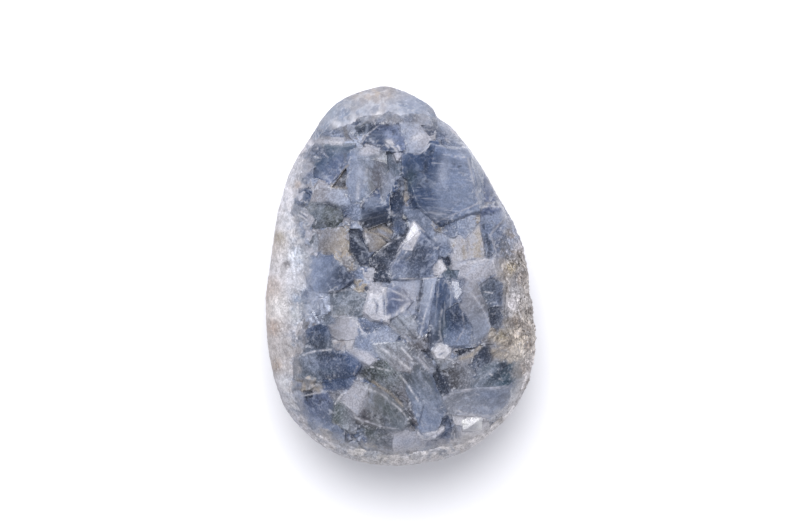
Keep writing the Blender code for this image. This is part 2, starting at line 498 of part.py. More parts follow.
matrix = build_matrix()
matrix.data.materials.clear()
matrix.data.materials.append(mineral("pale_matrix_rock", (0.62, 0.60, 0.60), 0.75))
matrix.data.shade_smooth()
matrix.data.set_sharp_from_angle(angle=SHARP_ANGLE)

crust = build_crust()
crust.data.materials.clear()
crust.data.materials.append(mineral("blue_celestite", (0.16, 0.21, 0.30), 0.2, 0.5))
crust.data.shade_flat()
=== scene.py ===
# %% [markdown]
# A celestite cluster: a block of pale rock ground to an egg, whose front is a crust of grown-together
# grey-blue crystals. It lies on its back on a pale table, lit softly from the upper left and seen from
# straight above. The two pieces below, the matrix rock and the crystal crust, are built over a packed
# solid model that has the same two parts, and they keep to its size and place.

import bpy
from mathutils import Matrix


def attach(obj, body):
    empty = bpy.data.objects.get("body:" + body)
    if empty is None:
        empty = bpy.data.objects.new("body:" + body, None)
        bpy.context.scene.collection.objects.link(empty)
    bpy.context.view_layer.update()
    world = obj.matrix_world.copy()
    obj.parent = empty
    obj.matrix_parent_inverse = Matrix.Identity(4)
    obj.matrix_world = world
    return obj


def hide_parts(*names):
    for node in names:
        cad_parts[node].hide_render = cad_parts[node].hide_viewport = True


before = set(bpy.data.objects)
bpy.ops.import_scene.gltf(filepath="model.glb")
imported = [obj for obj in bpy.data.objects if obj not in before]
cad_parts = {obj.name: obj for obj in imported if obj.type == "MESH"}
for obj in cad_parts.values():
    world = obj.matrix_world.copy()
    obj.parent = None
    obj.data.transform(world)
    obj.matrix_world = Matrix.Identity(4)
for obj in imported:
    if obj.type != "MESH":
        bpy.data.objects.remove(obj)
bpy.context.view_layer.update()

# %% Tools
import math
import random

import bpy
import numpy as np
from mathutils import Euler, Vector, noise
from mathutils.geometry import convex_hull_2d
from mathutils.kdtree import KDTree

print("Blender", bpy.app.version_string)

# %% [markdown]
# The stone was cut and ground to an egg, so its widest contour is a smooth closed line. A stretched circle
# would be the quick way, but the real egg is blunt at the foot and fuller on one side. Points were set
# along the contour instead, and a curve is run through them. The crystal field's edge is made the same way.

# %% The two outlines
WIDTH, LENGTH = 78.0, 110.0
BELLY_X, BELLY_Y = 0.5, -6.0  # the middle of the belly, from which distances are measured
EGG_OUTLINE = [
    (-5, 55.2), (0, 54), (5, 51.8), (9, 49), (10.7, 46.2), (15, 42.9), (20, 36.8), (24.5, 30), (28.5, 22.5),
    (32.6, 15), (35.2, 8), (36.7, 0), (37.9, -10), (38.9, -18.5), (38, -25), (36.4, -32), (32.5, -39),
    (26.5, -45), (19, -50.4), (10, -53.4), (-1, -54.8), (-10, -54), (-19, -51.2), (-26.5, -46.2),
    (-33.2, -38.5), (-36.8, -29.5), (-38.6, -20), (-39.1, -9), (-38.4, 0), (-37, 10), (-35, 21),
    (-31.9, 31), (-27.4, 38.4), (-20.6, 48.4), (-13.5, 53.2),
]  # fmt: skip
CRUST_OUTLINE = [
    (-2, 45.5), (8, 45.2), (14, 42.4), (18.6, 38.6), (23.5, 34), (27, 28.5), (30, 23), (31, 18.5),
    (30.2, 8), (29, 1), (30.5, -6), (31, -14), (34.5, -26), (32.6, -36), (26, -43.5), (16, -48.2), (0, -51),
    (-16, -48.5), (-28, -40), (-31, -27), (-28, -13), (-27.5, 2), (-30.2, 16), (-28.4, 30), (-26.4, 36.2),
    (-23, 40.6), (-17, 43), (-10, 45),
]  # fmt: skip
print(len(EGG_OUTLINE), "points round the egg,", len(CRUST_OUTLINE), "round the crystal field")


# %% A smooth line through points
def closed_curve(points, steps_each=8):
    """A closed curve that passes through every point and bends evenly between them."""
    count = len(points)
    found = []
    for i in range(count):
        a, b, c, d = (np.array(points[(i + k) % count], float) for k in (-1, 0, 1, 2))
        for step in range(steps_each):
            t = step / steps_each
            spread = 2 * b + (c - a) * t + (2 * a - 5 * b + 4 * c - d) * t * t
            found.append((spread + (3 * b - a - 3 * c + d) * t**3) / 2)
    return np.array(found)


egg_curve = closed_curve(EGG_OUTLINE)
low, high = egg_curve.min(axis=0), egg_curve.max(axis=0)
egg_curve = (egg_curve - (low + high) / 2) * np.array([WIDTH, LENGTH]) / (high - low)
print("the egg's contour has", len(egg_curve), "points")


# %% Distances from the belly's middle
def radial_table(curve):
    """For each direction from the belly's middle, the distance to a contour."""
    away = curve - np.array([BELLY_X, BELLY_Y])
    angles = np.arctan2(away[:, 1], away[:, 0])
    order = np.argsort(angles)
    return angles[order], np.hypot(away[:, 0], away[:, 1])[order]


def reach(table, x, y):
    """Distance from the belly's middle to a contour in the direction of a place, and to that place."""
    dx, dy = x - BELLY_X, y - BELLY_Y
    contour = np.interp(np.arctan2(dy, dx), table[0], table[1], period=2 * math.pi)
    return contour, np.hypot(dx, dy)


EGG = radial_table(egg_curve)
CRUST = radial_table(closed_curve(CRUST_OUTLINE))
print("the egg reaches", round(float(EGG[1].min()), 1), "to", round(float(EGG[1].max()), 1), "mm out")

# %% [markdown]
# The ground front is a dome over that contour, nearly flat in the middle and steep at the rim. Half a
# sphere would be too pointed, so the height follows a power of the share of the way out. The bed under the
# crystals is a second, slightly lower and flatter dome of the same kind.

# %% The ground front and the crystals' bed
BELLY_HEIGHT = 28.0  # height of the widest contour over the table
FRONT_RISE, FRONT_ROUNDNESS = 25.0, 2.4
CRUST_DEPTH, BED_SPREAD = 7.0, 0.986


def dome(x, y, base, spread=1.0):
    full, out = reach(EGG, x, y)
    return base + FRONT_RISE * np.sqrt(1 - (spread * np.minimum(out / full, 1.0)) ** FRONT_ROUNDNESS)


def front_height(x, y):
    return dome(x, y, BELLY_HEIGHT)


def bed_height(x, y):
    return dome(x, y, BELLY_HEIGHT - CRUST_DEPTH, BED_SPREAD)


def front_slope(x, y):
    along_x = front_height(x + 1, y) - front_height(x - 1, y)
    along_y = front_height(x, y + 1) - front_height(x, y - 1)
    return np.array([along_x, along_y]) / 2


print("the ground front rises to", round(float(front_height(BELLY_X, BELLY_Y)), 1), "mm over the table")

# %% [markdown]
# Nothing on a stone repeats, so almost everything below is varied by soft noise. Blender's own noise could
# be asked point by point, but the crust has a hundred thousand places. A table of random numbers, blended
# smoothly and laid over itself at smaller and smaller sizes, does the same for all of them at once.


# %% Soft steps and noise
def smooth(low_end, high_end, value):
    """A soft step from 0 at low_end to 1 at high_end."""
    t = np.clip((value - low_end) / (high_end - low_end), 0, 1)
    return t * t * (3 - 2 * t)


NOISE_SIDE = 64  # the table's width, after which the noise repeats
FADING, SHRINKING = 0.55, 2.1  # how much weaker and smaller each layer is than the one before


def clouds_at(x, y, size, octaves=3, seed=1):
    """Layered smooth noise over the plan, from 0 to 1, its largest lumps being size mm across."""
    table = np.random.default_rng(seed).random((NOISE_SIDE, NOISE_SIDE))
    total, weight = 0, 0
    for octave in range(octaves):
        turn = 0.6 + 1.1 * octave
        u = (x * math.cos(turn) - y * math.sin(turn)) / size + 900.3
        v = (x * math.sin(turn) + y * math.cos(turn)) / size + 700.7
        i, j = np.floor(u).astype(int), np.floor(v).astype(int)
        s, t = smooth(0, 1, u - i), smooth(0, 1, v - j)
        left, right = i % NOISE_SIDE, (i + 1) % NOISE_SIDE
        near, far = j % NOISE_SIDE, (j + 1) % NOISE_SIDE
        low = table[near, left] * (1 - s) + table[near, right] * s
        high = table[far, left] * (1 - s) + table[far, right] * s
        total = total + (low * (1 - t) + high * t) * FADING**octave
        weight += FADING**octave
        size /= SHRINKING
    return total / weight


print("noise at the belly's middle:", round(float(clouds_at(BELLY_X, BELLY_Y, 3.0)), 2))

# %% [markdown]
# Celestite is blue where it is clear, and grey, milky or white where it is cloudy or broken. Each tone has
# a colour as it looks on the stone, turned into the linear numbers that shaders need. All are body colours
# except painted_glint, a pure white that is a painted highlight. A tone also says which veils run through
# it and how dusty it is, so that a crystal can be given a look with one word.


# %% Colours as they are seen
def linear(value):
    share = value / 255
    return share / 12.92 if value < 11 else ((share + 0.055) / 1.055) ** 2.4


def seen(red, green, blue):
    """The linear colour of a seen one, on a scale to 255."""
    return np.array([linear(value) for value in (red, green, blue)])


def lay(field, colour, strength):
    """Blends a colour into a field of colours by strength."""
    return field * (1 - strength[..., None]) + colour * strength[..., None]


print("a seen grey of 128 is", round(float(seen(128, 128, 128)[0]), 3), "in linear light")

# %% Tones of crystal
# what veils and shadows inside each kind of crystal look like
VEILS = {"blue": seen(176, 186, 210), "clear": seen(166, 169, 176), "cloudy": seen(198, 201, 212)}
GLOOMS = {"blue": seen(52, 66, 92), "clear": seen(66, 70, 74), "cloudy": seen(110, 112, 124)}
# kind, colour, veils, dust
TONES = {
    "ink": ("blue", seen(50, 60, 82), 0.1, 0.28),
    "navy": ("blue", seen(68, 88, 126), 0.25, 0.25),
    "teal": ("blue", seen(78, 98, 116), 0.3, 0.25),
    "violet": ("blue", seen(102, 115, 152), 0.5, 0.15),
    "slate": ("blue", seen(102, 115, 146), 0.4, 0.35),
    "mist": ("blue", seen(137, 149, 177), 0.6, 0.2),
    "smoke": ("clear", seen(110, 108, 118), 0.3, 0.3),
    "moss": ("clear", seen(100, 110, 114), 0.3, 0.35),
    "ash": ("clear", seen(106, 114, 128), 0.4, 0.25),
    "fog": ("clear", seen(148, 152, 166), 0.5, 0.15),
    "glass": ("clear", seen(160, 166, 180), 0.4, 0.2),
    "milk": ("cloudy", seen(164, 172, 194), 0.7, 0.15),
    "pearl": ("cloudy", seen(192, 192, 204), 0.6, 0.2),
    "white": ("cloudy", seen(228, 227, 236), 0.3, 0.1),
    # painted highlight: pure white that stands in for the lamp's glint on the flash crystal
    "painted_glint": ("cloudy", seen(255, 255, 255), 0.1, 0.0),
    "beige": ("cloudy", seen(184, 174, 164), 0.5, 0.2),
    "stone": ("cloudy", seen(150, 149, 158), 0.5, 0.2),
}
print(len(TONES), "tones of", len(VEILS), "kinds")

# %% [markdown]
# About a hundred crystals can be told apart on the stone. They could be scattered by chance, but each is
# one that a viewer would know again, so they are drawn one by one. An entry holds a plan outline in mm, the
# height that its top stands over the ground front, an extra lean to the right and up, and a tone that may
# change from one side to the other in a given direction.

# %% The crystals drawn one by one
# name, rise, lean, tone or two tones and the way between them in degrees, outline
CRYSTALS = [
    ("fan", 0.2, (0.1, -0.15), ("navy", "violet", 45),
     [(-10.2, 37.5), (-6.8, 42.8), (-2.5, 43.1), (0.4, 41), (0.4, 36), (-5.8, 34.6)]),
    ("fan_tip", -0.4, (0.2, 0.1), ("pearl",),
     [(-12.1, 34.1), (-9.9, 37.6), (-7.2, 37), (-5.4, 35), (-8.8, 33.7)]),
    ("dark_tooth", -0.6, (0, 0), ("teal", "ink", 0),
     [(-12.6, 40.1), (-12.5, 41.7), (-8.4, 43.4), (-7.6, 42), (-9.6, 40.1)]),
    ("left_tooth", -0.3, (0, 0.1), ("navy", "slate", 0),
     [(-22.5, 40.7), (-17.3, 41.8), (-16.4, 39.1), (-20.2, 37.5), (-22.6, 38.4)]),
    ("left_shard", -0.2, (0, -0.1), ("slate", "mist", 0),
     [(-26.2, 34.8), (-24.9, 37.1), (-21.4, 36.5), (-21, 33.6), (-25.6, 33.2)]),
    ("left_blue", 0.5, (0.15, 0.1), ("teal", "violet", -60),
     [(-21.4, 36.4), (-14.1, 36), (-14.8, 31.6), (-20.1, 26.6), (-24.4, 27.7), (-24.7, 30.4)]),
    ("tall_milky", 0.9, (-0.1, 0), ("mist", "ash", 0),
     [(-14.6, 33.7), (-4.7, 35), (-4.1, 29.1), (-7.3, 23.2), (-11.6, 18.6), (-15.1, 20)]),
    ("tall_blue", 0.3, (0.12, -0.1), ("navy", "ink", -90),
     [(-11.8, 19), (-5.4, 25.9), (-2.2, 24.6), (-3.5, 14.8), (-9.5, 13.1)]),
    ("pale_tip", 1.2, (-0.2, 0.1), ("milk",),
     [(-5.1, 28), (-3.2, 28.4), (-2, 27.1), (-2.2, 24), (-4.3, 22.1)]),
    ("dark_column", -1.2, (0.2, 0), ("ink", "navy", -90),
     [(-3.1, 23.9), (0.2, 23.3), (0.8, 14.2), (-2.9, 13.5)]),
    ("speckled_column", -0.8, (0, 0), ("teal",), [(-4.1, 35), (0.3, 34.5), (0.2, 28.2), (-3.1, 27.8)]),
    ("white_block", 1.3, (0.1, 0.12), ("milk", "pearl", 0),
     [(0.7, 42.2), (5.1, 42.4), (8.7, 38.9), (7.5, 36.8), (5, 34.8), (1.8, 34.6)]),
    ("notch_blue", -0.8, (0.1, 0.1), ("navy",), [(5.7, 42.6), (9.7, 43.8), (9.8, 40.3), (8.2, 39.4)]),
    ("shoulder_grey", 0.1, (0, 0), ("slate", "mist", 45),
     [(10.3, 44.1), (13.3, 42.8), (17.4, 37.8), (17.3, 35.3), (12.9, 36.1), (10, 39)]),
    ("window_dark", 0.3, (-0.15, 0.1), ("navy",),
     [(0.4, 29.1), (0.8, 33.6), (8.1, 37.7), (10.3, 37.4), (8.5, 31.2), (2.7, 27.2)]),
    ("window", 1.4, (0.06, 0.04), ("navy", "mist", 10),
     [(3, 26.1), (10.5, 36.1), (18.4, 33.6), (20.7, 25.5), (21.7, 19), (11.5, 14.8), (4.8, 19.8)]),
    ("window_edge", 1.0, (0.1, 0), ("mist",),
     [(19, 34.1), (20.7, 33.2), (22.4, 26.6), (22.6, 20.1), (20.8, 20.5)]),
    ("edge_blue", -0.1, (0, 0), ("violet",),
     [(22, 34.5), (25, 31), (28, 26), (28.9, 21.3), (23.3, 21.2), (22.8, 27.6)]),
    ("edge_dark", 0.4, (0.05, 0), ("violet",),
     [(22.6, 19.8), (29.1, 19.4), (29.1, 16.6), (27.4, 15.1), (22.5, 15.3)]),
    ("edge_column", -0.4, (0.1, 0), ("slate", "mist", 0),
     [(22.3, 14.5), (25.4, 14.3), (25.8, 5), (23.4, 4.8)]),
    ("speckled_band", 0.4, (0.15, 0.1), ("mist",),
     [(1.2, 18), (5.7, 18), (9.5, 13.6), (9, 10.5), (5.4, 13)]),
    ("bright_chip", 1.5, (0.5, 0.22), ("pearl", "white", 60),
     [(0, 7.5), (3.8, 14.2), (5.5, 12.1), (3.4, 7.2)]),
    ("pyramid", 1.6, (0, -0.1), ("mist", "slate", 0),
     [(5.5, 12), (9.9, 7.8), (9, 0.4), (-3.3, -0.3), (-2.3, 3), (0, 7.2)]),
    ("rosette", 0.8, (0, 0), ("pearl", "white", 0),
     [(8.6, 2.2), (9.4, 3.9), (10.9, 3.9), (11.9, 2.1), (10.7, 1), (9.2, 1.1)]),
    ("knob_teal", 0.0, (0, 0), ("slate", "mist", 0),
     [(12.1, 12.7), (12.3, 15.6), (16, 16), (16.4, 12.7), (14.8, 11.4)]),
    ("knob_grey", 0.2, (0, 0), ("mist", "milk", 0),
     [(16.4, 12.9), (16.6, 16.2), (20.2, 16.6), (20.5, 13.7), (18, 11.4)]),
    ("knob_pale", -0.2, (0, 0), ("milk",), [(9.4, 10.5), (10, 12.6), (13.1, 11.7), (13.7, 9.6), (11.3, 9)]),
    ("knob_dark", 0.2, (0, 0), ("slate", "mist", 0),
     [(10.2, 7.2), (10.5, 8.8), (12.7, 9), (13.7, 7.6), (12.3, 5.8)]),
    ("grained_block", 0.2, (0, -0.1), ("pearl", "beige", -20),
     [(16.6, 11.3), (21.9, 13.3), (23.2, 5.2), (15, 4.4)]),
    ("ledge", 0.9, (0, 0.1), ("pearl",), [(14.3, 3.4), (26, 4.6), (27.1, 0.5), (21.6, -1.6), (16.3, 0.1)]),
    ("small_dark", -0.5, (0, 0), ("ink",), [(10.2, 5.3), (13.1, 5.9), (14.4, 3.2), (11.9, 2.4)]),
    ("teal_shelf", -0.4, (0, 0), ("teal",),
     [(10.9, 0.9), (11.7, 2.2), (16.4, 1.7), (15.8, -0.6), (12.9, -1)]),
    ("striped_clear", 0.9, (-0.2, 0.1), ("glass", "pearl", 0),
     [(-28.9, 16.7), (-27.9, 19), (-24.3, 16.9), (-25.7, 14.9)]),
    ("left_green", 0.2, (0.1, 0.1), ("ash", "moss", 0),
     [(-26.1, 19.8), (-18, 19.2), (-16.1, 17.1), (-19, 13.1), (-25.1, 13.3)]),
    ("left_ring", -0.3, (0, 0), ("ash", "fog", 0),
     [(-25.7, 9.2), (-24.7, 11.7), (-23.1, 11.9), (-22.7, 9.2), (-24.1, 6.9)]),
    ("left_grey", -0.5, (0.05, 0), ("stone", "beige", -30),
     [(-22.7, 12.3), (-16.5, 14.2), (-14.9, 13.4), (-14.9, 7.8), (-17.4, 6.3), (-22.3, 6.9)]),
    ("dark_wedge", -0.9, (0.1, -0.1), ("ink",),
     [(-14.7, 13.4), (-11.2, 13.4), (-8.9, 6.5), (-9.1, 2.6), (-12, 2.8), (-14.7, 7.4)]),
    ("dark_blade", 0.2, (0.3, -0.22), ("ink",),
     [(-8.2, 5.7), (-1, 11.7), (0.2, 8.2), (-3.5, -0.3), (-6.4, -0.7), (-8.9, 2.2)]),
    ("sunk_facet", -2.0, (-0.3, 0.4), ("stone", "beige", 0),
     [(-9.5, 12.5), (-2.7, 10.2), (-6.8, 6.7), (-8.9, 6.7)]),
    ("beige_wedge", -1.2, (0, 0.2), ("stone",), [(-9.5, 13), (-4.5, 14.8), (-1.8, 12.3), (-2.9, 10.1)]),
    ("left_main", 0.8, (0.12, 0.04), ("mist", "slate", 0),
     [(-24.8, 4.8), (-20.3, 4.9), (-16.4, 3), (-14.2, -1.1), (-18.3, -3.7), (-23.8, -4), (-25.8, -0.9)]),
    ("twin_dark", 0.0, (0, 0), ("slate", "mist", 0),
     [(-13.5, 0.7), (-12.6, 2), (-10.6, 1.9), (-10.1, -0.6), (-12.5, -0.8)]),
    ("twin_pale", 0.3, (0, 0), ("pearl",),
     [(-10.4, 1.5), (-7.7, 1.4), (-7.1, -0.1), (-8.7, -1.4), (-10.5, -0.7)]),
    ("green_step", -0.2, (0.1, -0.1), ("ash",),
     [(-20.1, -4.1), (-14.3, -3), (-10, -5.3), (-11.2, -10.8), (-18.9, -11.1)]),
    ("shell_white", 3.0, (-0.1, 0.05), ("pearl", "white", 60),
     [(-9.6, -9.8), (-8.1, -5.2), (-5, -4.1), (-4.3, -12.2), (-7.5, -11.6)]),
    ("shell_blue", 2.4, (0.05, -0.1), ("violet",),
     [(-5.8, -4.3), (-2.9, -3.5), (0, -4.5), (2.6, -7), (0, -9.9), (-4.8, -12)]),
    ("pale_pane", -0.2, (-0.1, 0.05), ("milk",),
     [(-6.2, -1.1), (5.3, -1), (4.1, -9.9), (1.3, -11.9), (-2, -8.5)]),
    ("pane_stripe", 0.5, (-0.15, 0), ("milk", "slate", -90),
     [(6.6, -0.9), (9.4, -0.9), (8.2, -6.6), (6.2, -17.2), (4.4, -15.4)]),
    ("deep_pane", 0.2, (0.1, 0.05), ("navy", "ink", -90),
     [(9.5, -0.9), (13, -0.7), (16.3, -7.2), (12.4, -18.9), (6.8, -19.8), (6.7, -11.4)]),
    ("smoky_pane", 0.6, (0.1, -0.06), ("navy", "mist", -60),
     [(16.1, -7.2), (19.2, -13.9), (18.5, -18.5), (12.6, -18.9), (12.5, -9.5)]),
    ("white_chip", 1.6, (0.1, -0.25), ("pearl",),
     [(13.1, -1.1), (15.8, -2), (16.5, -4.3), (15.5, -5.6), (13.6, -3.7)]),
    ("blue_bead", 0.2, (0, 0), ("navy", "slate", 0),
     [(16.1, -1.2), (18, -0.3), (17.8, -2.4), (16.5, -3.3)]),
    ("grey_face", 1.0, (-0.08, 0.08), ("stone", "milk", -80),
     [(18.1, -0.6), (21.4, -2.6), (25.1, -14.2), (21.2, -18.5), (18.8, -17.8), (16.6, -4.7)]),
    ("right_round", 0.5, (0.1, 0), ("ash", "slate", 0),
     [(21.4, -2.7), (25.4, -0.2), (28.8, -1.9), (28.5, -8), (24.3, -8.5)]),
    ("right_black", -0.6, (0, 0), ("ink",),
     [(24.2, -8.9), (27.4, -8.4), (29, -11.6), (27.4, -14.8), (25.4, -14.3)]),
    ("white_knob", 1.4, (0, 0), ("white",),
     [(9.8, -20.9), (10.8, -19.8), (12.4, -19.9), (13, -21.1), (12, -22.3), (10.4, -22.1)]),
    ("green_teal", 0.0, (-0.05, 0), ("slate", "mist", 0),
     [(-12.7, -12), (-5.2, -12.8), (-3.9, -14.7), (-9.3, -16), (-11.8, -14.1)]),
    ("pale_disc", 0.8, (-0.05, 0.1), ("pearl",),
     [(-19.1, -14.5), (-15.4, -11.8), (-12.3, -12.2), (-11.8, -16.8), (-16.4, -17.4), (-18.7, -16.3)]),
    ("pale_slab", 0.3, (0, 0.05), ("mist", "milk", 0),
     [(-11.8, -14.5), (-4.5, -15.2), (-1.2, -16.6), (-2.9, -19.1), (-8.1, -23), (-12.2, -20.7)]),
    ("mauve_chip", -0.6, (0, 0), ("white",),
     [(-19.4, -17.5), (-13, -17.6), (-13.2, -20.3), (-18.6, -20.3)]),
    ("striped_slope", 0.7, (0.2, 0.12), ("glass", "smoke", -60),
     [(-4.5, -12.9), (1.1, -9.5), (4.8, -14.7), (7.1, -19.5), (5.2, -20.4), (-1, -16.4)]),
    ("striped_white", 1.2, (0.1, -0.05), ("glass", "stone", -60),
     [(-7.1, -18.9), (0.5, -18.8), (3.9, -22.9), (2.3, -26), (-1, -25.8), (-5.8, -22)]),
    ("leaf_top", 0.3, (-0.05, 0.05), ("ash", "navy", 90),
     [(-22.4, -13.8), (-25.8, -15.8), (-28, -18.8), (-28, -20.4), (-19, -20.4), (-18.9, -16.5),
      (-20.5, -14.4)]),
    ("leaf_main", 0.9, (0, 0), ("ash", "navy", 20),
     [(-29.2, -25.6), (-28, -22.8), (-25.2, -21.3), (-20, -20.7), (-15.6, -21.1), (-12.4, -22.9),
      (-11.9, -25.3), (-13.2, -27.3), (-17, -28.8), (-24, -29), (-28.3, -28)]),
    ("leaf_low", 0.1, (0, -0.1), ("navy",), [(-21.9, -28.8), (-13.4, -28.1), (-13.8, -31), (-20.8, -32.1)]),
    ("lens", 0.9, (0.1, 0.1), ("pearl",),
     [(-14.7, -20.3), (-9.1, -21.8), (-7.7, -23.3), (-8.9, -24.2), (-12.9, -22.4)]),
    ("corner_black", -1.0, (0, 0), ("ink",),
     [(-27.8, -32.2), (-24.8, -32.2), (-24.6, -34.1), (-26.8, -34.6)]),
    ("corner_blue", 0.6, (0, -0.05), ("violet", "mist", -90),
     [(-26.4, -34.6), (-21.4, -32.5), (-19.1, -36.8), (-16.9, -45.4), (-24.6, -43.2), (-28.5, -38.9)]),
    ("front_block", 2.0, (0.02, -0.02), ("smoke", "ash", -30),
     [(-10, -30.7), (-5.2, -32.4), (0, -36.9), (2.3, -39.9), (-0.6, -42.5), (-4.9, -42.1), (-12, -39.8)]),
    ("green_prism", 0.9, (0.1, 0.1), ("moss", "smoke", -60),
     [(-12.2, -26.9), (-8.7, -24.3), (-4.4, -24), (0.5, -28.4), (5.6, -36.2), (4.4, -40.6), (-3.3, -33.7)]),
    ("long_prism", 1.3, (0.08, 0.06), ("ash", "mist", -90),
     [(0, -27), (4.8, -23.3), (8.6, -27.2), (12.3, -36.1), (11.4, -42.7), (7.4, -44.5), (5, -42.2)]),
    ("ridge", 1.0, (0.2, 0.1), ("fog",), [(1.7, -20.3), (4, -20.8), (8.9, -26.4), (8, -27), (4, -24.1)]),
    ("dark_prism", -0.7, (0, 0), ("ink",),
     [(5.4, -20.6), (9.4, -20.7), (13.5, -32.4), (11.6, -34), (8.3, -26.1)]),
    ("brown_block", 0.1, (0, 0), ("smoke", "fog", 0),
     [(11.1, -24.4), (15.4, -23.6), (19.7, -25), (20.7, -27.4), (19, -31.6), (14.1, -32)]),
    ("dark_corner", -0.5, (0, 0), ("ink",),
     [(15, -20.9), (23.2, -19.2), (25.4, -21.8), (24.8, -24.1), (21.1, -26.8), (19.3, -23.5)]),
    ("right_teal", 0.5, (0, 0.05), ("ash", "teal", 0),
     [(19.9, -27.9), (23.2, -25.3), (30.8, -24.3), (33.5, -27.8), (30.5, -30.7), (20.1, -31.3)]),
    ("fan_low", 1.6, (0.05, 0.1), ("fog", "milk", 0),
     [(11.4, -34), (15.4, -32.1), (30.6, -31.1), (30.4, -36.2), (25, -40), (12.6, -37.8)]),
    ("pale_dome", 0.8, (-0.1, -0.45), ("white",),
     [(14.9, -38.9), (24.2, -39.7), (25.2, -42.9), (21.3, -46), (16.8, -45.6)]),
    ("blue_wedge", -0.6, (0, 0), ("slate",),
     [(11.8, -39.4), (14.5, -39), (14.8, -43.3), (13.9, -46.2), (9.4, -46.3), (11.7, -42.8)]),
    ("green_foot", 0.0, (0, -0.05), ("ash", "fog", 0),
     [(-10.7, -41.5), (-4.9, -42.9), (-0.8, -45.4), (-1.6, -48.9), (-8.4, -46.9)]),
    ("gap_floor", -2.0, (0, 0), ("smoke",), [(-15, 30.8), (-19.5, 25), (-15.6, 24.8)]),
    ("left_slab", -0.2, (0, 0), ("stone", "milk", 0),
     [(-23.4, 25), (-16.5, 24.3), (-14.9, 20.4), (-19.4, 20.3), (-24.4, 21.5)]),
    ("band_blue", 0.1, (0, 0), ("mist",), [(-29.8, 20), (-25.7, 21.3), (-26.1, 19.8), (-29.6, 18.9)]),
    ("tiny_block", 0.1, (0, 0), ("navy",), [(-26.3, 23.8), (-25.1, 23.3), (-25.1, 21.8), (-26.4, 22)]),
    ("low_blue", -0.2, (0, 0), ("slate", "mist", 0),
     [(-16.7, 20), (-12.2, 19.6), (-11.5, 16.3), (-15.9, 16.3)]),
    ("ledge_white", 0.4, (0, 0), ("pearl",), [(-22.6, 38.8), (-16.4, 38.5), (-16.2, 36.9), (-19.6, 36.8)]),
    ("flecks_a", 0.6, (0, 0), ("white",), [(-3.5, 37.9), (-2.2, 38.3), (-1.4, 36.9), (-2.4, 36.3)]),
    ("flecks_b", 0.5, (0, 0), ("pearl",), [(-2.2, 36.4), (-1, 36), (0, 34.4), (-0.8, 33.4)]),
    ("shell_cap", 1.4, (0, 0), ("pearl",), [(-8.1, -3.1), (-5.8, -2.5), (-5, -4.7), (-7.7, -5)]),
    ("foot_lens", 1.8, (0, -0.45), ("white",), [(5.8, -44.1), (11.3, -43.2), (9.7, -44.9), (7.2, -45)]),
    ("small_slate", 0.1, (0, 0), ("ash", "mist", 0),
     [(-22.3, -11.7), (-18.7, -11.3), (-18, -13.2), (-20.9, -13.8)]),
    ("olive_chip", 0.2, (0, 0), ("stone",), [(15.9, -23.4), (19.9, -21.5), (19.5, -23.6), (17, -24.6)]),
    ("mist_chip", 0.3, (0, 0), ("ash", "fog", 0),
     [(10.1, -23.4), (15, -23.3), (14.4, -24.9), (11.1, -25.7)]),
    ("rim_navy", 0.0, (0, 0), ("glass",), [(30.7, -31.7), (33.4, -30.4), (32.9, -33.9), (31.2, -34.3)]),
    ("rim_chip", 0.0, (0, 0), ("slate",), [(24.9, -41.2), (27.6, -41.1), (27.4, -43.7), (25.7, -43.6)]),
    ("blue_strip", 0.0, (0, 0), ("fog",), [(15, -41.8), (17.4, -42.3), (17.1, -46.5), (15.3, -45.8)]),
    ("block_side", 1.0, (-0.3, -0.1), ("moss", "fog", 0),
     [(-17.9, -36.2), (-15.3, -35.9), (-12.5, -40.3), (-13.3, -43.3), (-15.8, -42.2), (-18.3, -39.6)]),
    ("block_bevel", 1.9, (0.5, 0.1), ("pearl",),
     [(-16.2, -35), (-12.4, -30.5), (-10.4, -32), (-12.4, -38)]),
    # painted highlight: the flash crystal is painted pure white for the lamp's glint, besides lying in the
    # mirror slope
    ("flash", 2.2, (0, -0.5), ("painted_glint",),
     [(17.8, -41.2), (20, -39.3), (22, -40.6), (20.6, -42.2), (18.1, -42.7)]),
    ("pale_foot", 0.3, (0, 0), ("pearl",),
     [(-1.4, -43.3), (4.6, -43.5), (7.2, -46), (6.1, -48.7), (-1, -49.1)]),
]  # fmt: skip
print(len(CRYSTALS), "crystals are drawn by hand")

# %% [markdown]
# Grown-together crystals leave no gaps: at each place the highest one is what is seen. Separate solids
# could be joined, but a hundred joins are slow and leave holes. The crust is worked out instead as heights
# over a fine grid of the plan, where each crystal is laid on in turn and the highest wins.

# %% The grid
STEP = 0.245
COLUMN_X, ROW_Y = np.arange(-33, 36, STEP), np.arange(-53, 47, STEP)
UNDER = 2.0  # how far the crust reaches under the rim's rock, in mm
RIM_LEFT = 0.35  # what it leaves free of the egg's contour
grid_x, grid_y = np.meshgrid(COLUMN_X, ROW_Y)
field_edge, out = reach(CRUST, grid_x, grid_y)
border = np.minimum(field_edge + UNDER, reach(EGG, grid_x, grid_y)[0] - RIM_LEFT)
kept = out < border + 0.9 * STEP
pull = np.minimum(1, border / np.maximum(out, 0.1))  # draws the outermost places onto the border
grid_x = BELLY_X + (grid_x - BELLY_X) * pull
grid_y = BELLY_Y + (grid_y - BELLY_Y) * pull
inward = np.minimum(field_edge, border) - out * pull
ground = front_height(grid_x, grid_y)
print(int(kept.sum()), "places of the grid are in the crust")

# %% Wandering edges and chips
WANDER = 0.9  # how far an edge strays from its straight line, in mm
wander_x = grid_x + WANDER * (clouds_at(grid_x, grid_y, 3.0, 3, 2) - 0.5)
wander_y = grid_y + WANDER * (clouds_at(grid_x, grid_y, 3.0, 3, 3) - 0.5)
chips = smooth(0.55, 0.85, clouds_at(grid_x, grid_y, 2.2, 3, 4))
surface = ground - 0.4 + 0.4 * (clouds_at(grid_x, grid_y, 2.5, 3, 5) - 0.5)
print("chipped share of the crust:", round(float((chips > 0.5).mean()), 3))

